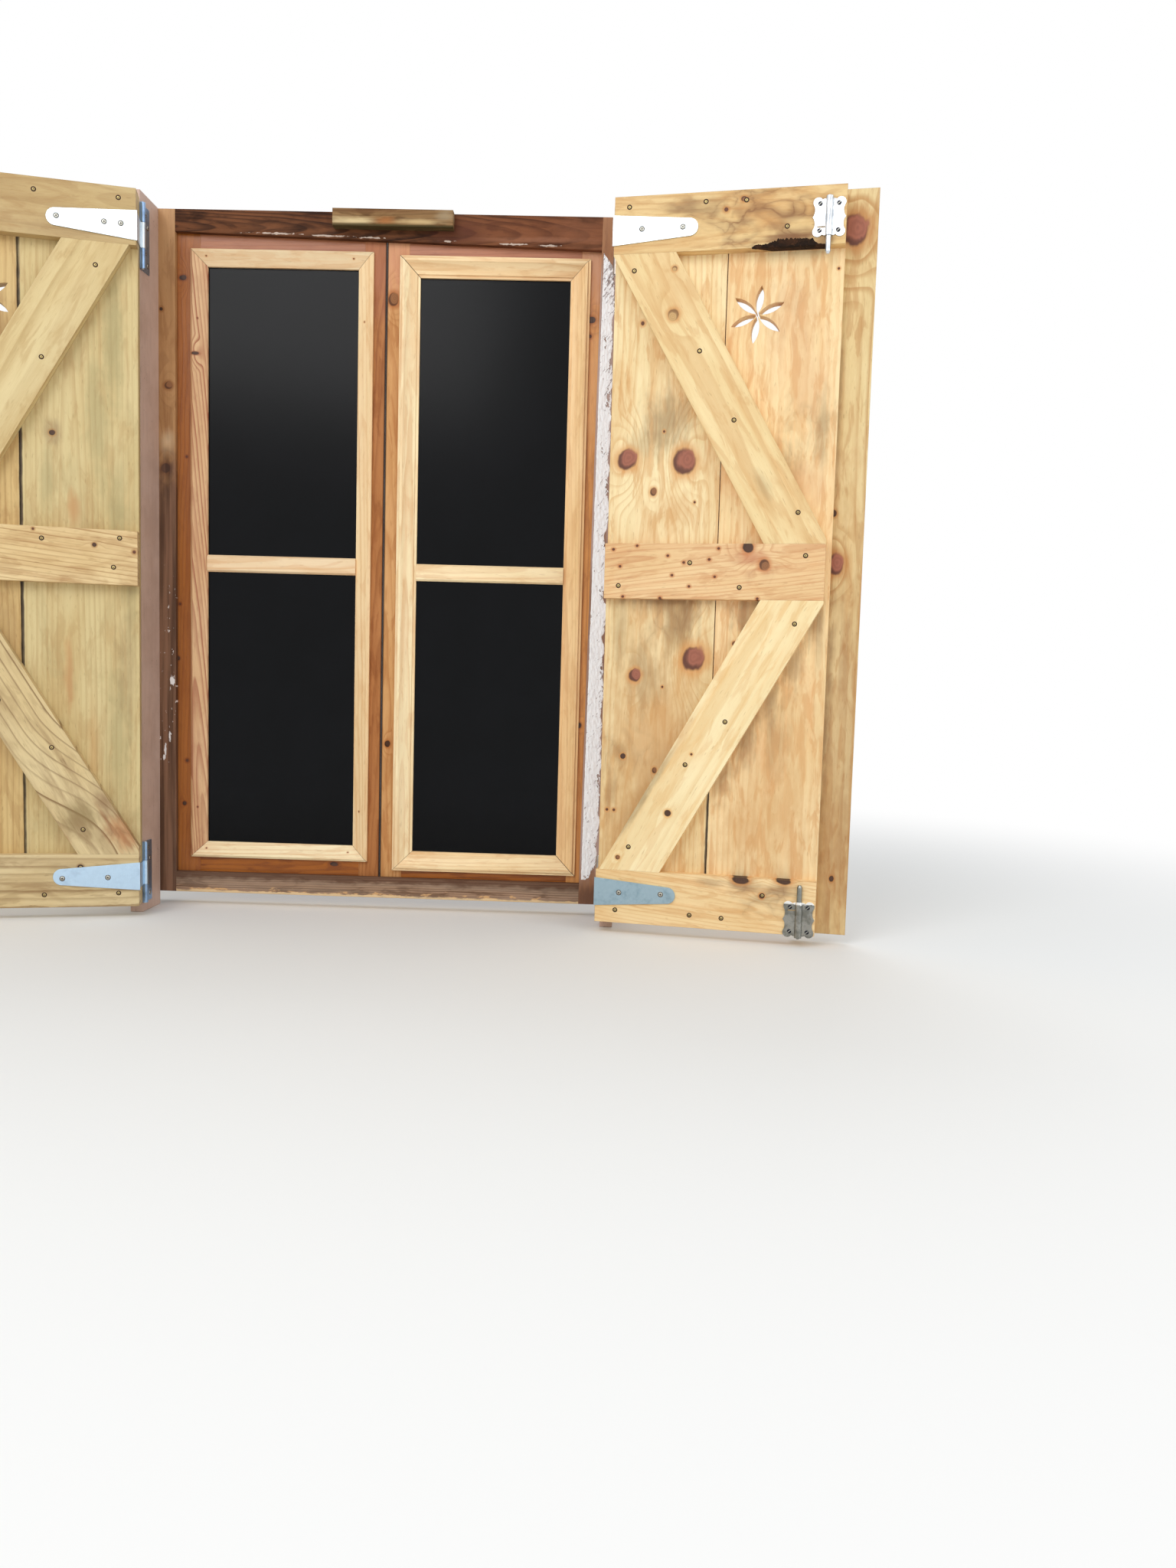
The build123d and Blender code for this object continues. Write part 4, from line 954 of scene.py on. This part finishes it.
# Old paint left on the right jamb
def make_paint():
    rows, columns = 700, 24
    low, high = 0.045, 1.15
    thin = 0.0001

    def build(bm):
        grid = {}
        for j in range(rows + 1):
            z = low + (high - low) * j / rows
            sight = 0.365 + 0.0105 * z / 1.211  # the jamb's inner edge leans
            point = max(0, (z - 1.117) / 0.033, (0.1 - z) / 0.055)
            start = (sight + 0.0035 + 0.0008 * noise.noise(Vector((0, 0, z * 30)))
                     + 0.0005 * noise.noise(Vector((3, 0, z * 160))))
            ragged = noise.fractal(Vector((7, 0, z * 22)), 1, 2, 5)
            end = 0.3985 + 0.008 * ragged - 0.018 * point ** 1.2
            for i in range(columns + 1):
                x = start + (max(end, start + 0.002) - start) * i / columns
                lump = noise.fractal(Vector((x * 300, 0.3, z * 110 + x * 160)), 1, 2, 5)
                thick = 0.0012 + 0.0011 * lump
                if i in (0, columns) or j in (0, rows):
                    thick = thin
                grid[i, j] = bm.verts.new((x, FRAME_FACE - max(thick, thin), z))
        for j in range(rows):
            z = low + (high - low) * (j + 0.5) / rows
            ends = max(0, (0.085 - z) / 0.05)
            for i in range(columns):
                x = (grid[i, j].co.x + grid[i + 1, j].co.x) / 2
                gap = noise.fractal(Vector((x * 110 + 5, 1.7, z * 24)), 1, 2, 4)
                flake = noise.noise(Vector((x * 420 + z * 200, 4.1, z * 150)))
                edge = max(0, (i - 14) / 10) * 0.45
                if 0.8 * gap + 0.35 * flake + edge + ends * 0.7 < 0.66:
                    bm.faces.new((grid[i, j], grid[i + 1, j], grid[i + 1, j + 1], grid[i, j + 1]))
        bmesh.ops.delete(bm, geom=[v for v in bm.verts if not v.link_faces], context="VERTS")
        bmesh.ops.recalc_face_normals(bm, faces=bm.faces)

    s = Shader("old_white_paint", Specular_IOR_Level=0.3)
    cloud = s.noise(s.point, 60, 4, 0.65)
    x, y, z = s.parts(s.point)
    slant = s.add(s.times(x, 0.82), s.times(z, -0.57))
    run = s.add(s.times(x, 0.57), s.times(z, 0.82))
    fine = s.noise(s.vector(slant, y, s.times(run, 0.28)), 330, 3, 0.6)
    colour = s.mix(s.step(cloud, 0.55, 0.8), srgb(255, 255, 255), srgb(236, 232, 234))
    # Painted shade: the dark slanting strokes stand in for the shade in the paint's rough strokes, with more
    # of them toward the top and the right edge.
    old_paint_marks = s.add(s.step(z, 1.03, 1.1, 0, 0.1), s.step(x, 0.384, 0.398, 0, 0.07))
    colour = s.mix(s.step(s.add(fine, old_paint_marks), 0.62, 0.72, 0, 0.75), colour, srgb(134, 116, 112))
    s.relief(fine, 0.0007)
    piece("old_paint", "frame", [s.finish(colour, 0.85)], build)


# Bark left under the right shutter's top ledge: places and heights, in millimetres
BARK = ((230, 0.8), (234, 3.5), (239, 5.5), (246, 4), (255, 5.5), (262, 8), (271, 11.5), (290, 12), (312, 11),
        (326, 10), (330, 5), (335, 2), (347, 0.8))


def bark_height(t):
    for (a, low), (b, high) in zip(BARK, BARK[1:]):
        if t <= b:
            break
    height = low + (high - low) * (t - a) / (b - a)
    return height * (1 + 0.3 * noise.fractal(Vector((t * 0.3, 2, 0)), 0.9, 2, 4))


def make_bark():
    columns, rows, under = 150, 14, 5
    depth = LEDGE_FACE - BOARD_FACE - 0.001

    def build(bm):
        grid = {}
        for i in range(columns + 1):
            t = BARK[0][0] + (BARK[-1][0] - BARK[0][0]) * i / columns
            for j in range(rows + 1):
                share = (j - under) / (rows - under)
                up = bark_height(t) * max(0, share)
                # Below the edge the dark bark is carried in under the ledge, where it is partly bark and
                # partly painted shade on the underside.
                inward = depth * min(1, 0.1 + (t - BARK[0][0]) / 36) * max(0, under - j) / under
                lump = 0.5 + 0.5 * noise.fractal(Vector((t * 0.22, up * 0.5, inward * 300)), 1, 2, 4)
                proud = 0.00012 if j in (0, rows) or i in (0, columns) else 0.0003 + 0.0011 * lump
                drop = proud * 1000 if j <= under else 0
                rise = proud if j >= under else 0
                at = on_shutter(RIGHT, t, LEDGE_UNDERSIDE + up - drop, LEDGE_FACE - inward + rise)
                grid[i, j] = bm.verts.new(at)
        for i in range(columns):
            for j in range(rows):
                bm.faces.new((grid[i, j], grid[i + 1, j], grid[i + 1, j + 1], grid[i, j + 1]))
        bmesh.ops.recalc_face_normals(bm, faces=bm.faces)

    s = Shader("bark", Specular_IOR_Level=0.2)
    rough = s.noise(s.point, 260, 4, 0.7)
    plates = s.noise(s.point, 70, 2, 0.5)
    colour = s.mix(s.step(plates, 0.4, 0.65), srgb(34, 22, 14), srgb(58, 36, 22))
    colour = s.mix(s.step(rough, 0.56, 0.72, 0, 0.6), colour, srgb(104, 66, 38))
    s.relief(rough, 0.0012)
    piece("bark_edge_and_shade", "right_shutter", [s.finish(colour, 0.9)], build)


# Studio
def make_floor():
    floor = add_mesh("floor", lambda bm: bmesh.ops.create_grid(bm, x_segments=1, y_segments=1, size=30))
    floor.location.z = cad_box[0][2] - 0.0005
    s = Shader("floor_paint", Roughness=0.9, Specular_IOR_Level=0.1)
    paint = s.finish(s.mix(s.noise(s.point, 0.5), srgb(238, 238, 236), srgb(242, 241, 239)))
    x, y, _ = s.parts(s.point)
    far = s.step(s.length(x, y), 0.9, 2.6)
    white = s.node("ShaderNodeEmission")
    blend = s.node("ShaderNodeMixShader")
    s.plug(s.surface, s.feed(blend, s.times(s.seen(), far), s.bsdf.outputs[0], white.outputs[0]))
    floor.data.materials.append(paint)


def make_light():
    world = bpy.data.worlds.new("studio")
    sky = Nodes(world)
    ambient = sky.feed(sky.node("ShaderNodeBackground"), (0.93, 0.97, 1, 1), 0.6)
    white = sky.feed(sky.node("ShaderNodeBackground"), (1, 1, 1, 1))
    blend = sky.feed(sky.node("ShaderNodeMixShader"), sky.seen(), ambient, white)
    sky.plug(sky.node("ShaderNodeOutputWorld").inputs["Surface"], blend)
    scene.world = world
    for name, place, power in (("key", (-1, -2.7, 2.5), 47), ("fill", (2.4, -2.2, 1.3), 22),
                               ("back", (0.4, 2.2, 4), 34)):
        lamp = bpy.data.lights.new(name, "AREA")
        lamp.size = 2
        lamp.energy = power
        made = add_object(name, lamp)
        made.location = place
        made.rotation_euler = (Vector((0, 0, 0.6)) - Vector(place)).to_track_quat("-Z", "Y").to_euler()


def make_camera():
    """The photograph's camera, solved from the corners of the frame and the shutters."""
    camera = bpy.data.cameras.new("camera")
    camera.sensor_fit = "HORIZONTAL"
    camera.sensor_width = 36
    camera.lens = 35.93
    made = add_object("camera", camera)
    turn = (Matrix.Rotation(radians(1.248), 4, "Z") @ Matrix.Rotation(radians(90 - 4.923), 4, "X")
            @ Matrix.Rotation(radians(1.617), 4, "Z"))
    made.matrix_world = Matrix.Translation((0.423, -2.1439, 0.4032)) @ turn
    scene.camera = made


dress_right_shutter()
dress_left_shutter()
dress_casements()
dress_frame()
dress_metal()
make_fixings()
make_paint()
make_bark()
make_floor()
make_light()
make_camera()
scene.view_settings.view_transform = "Standard"
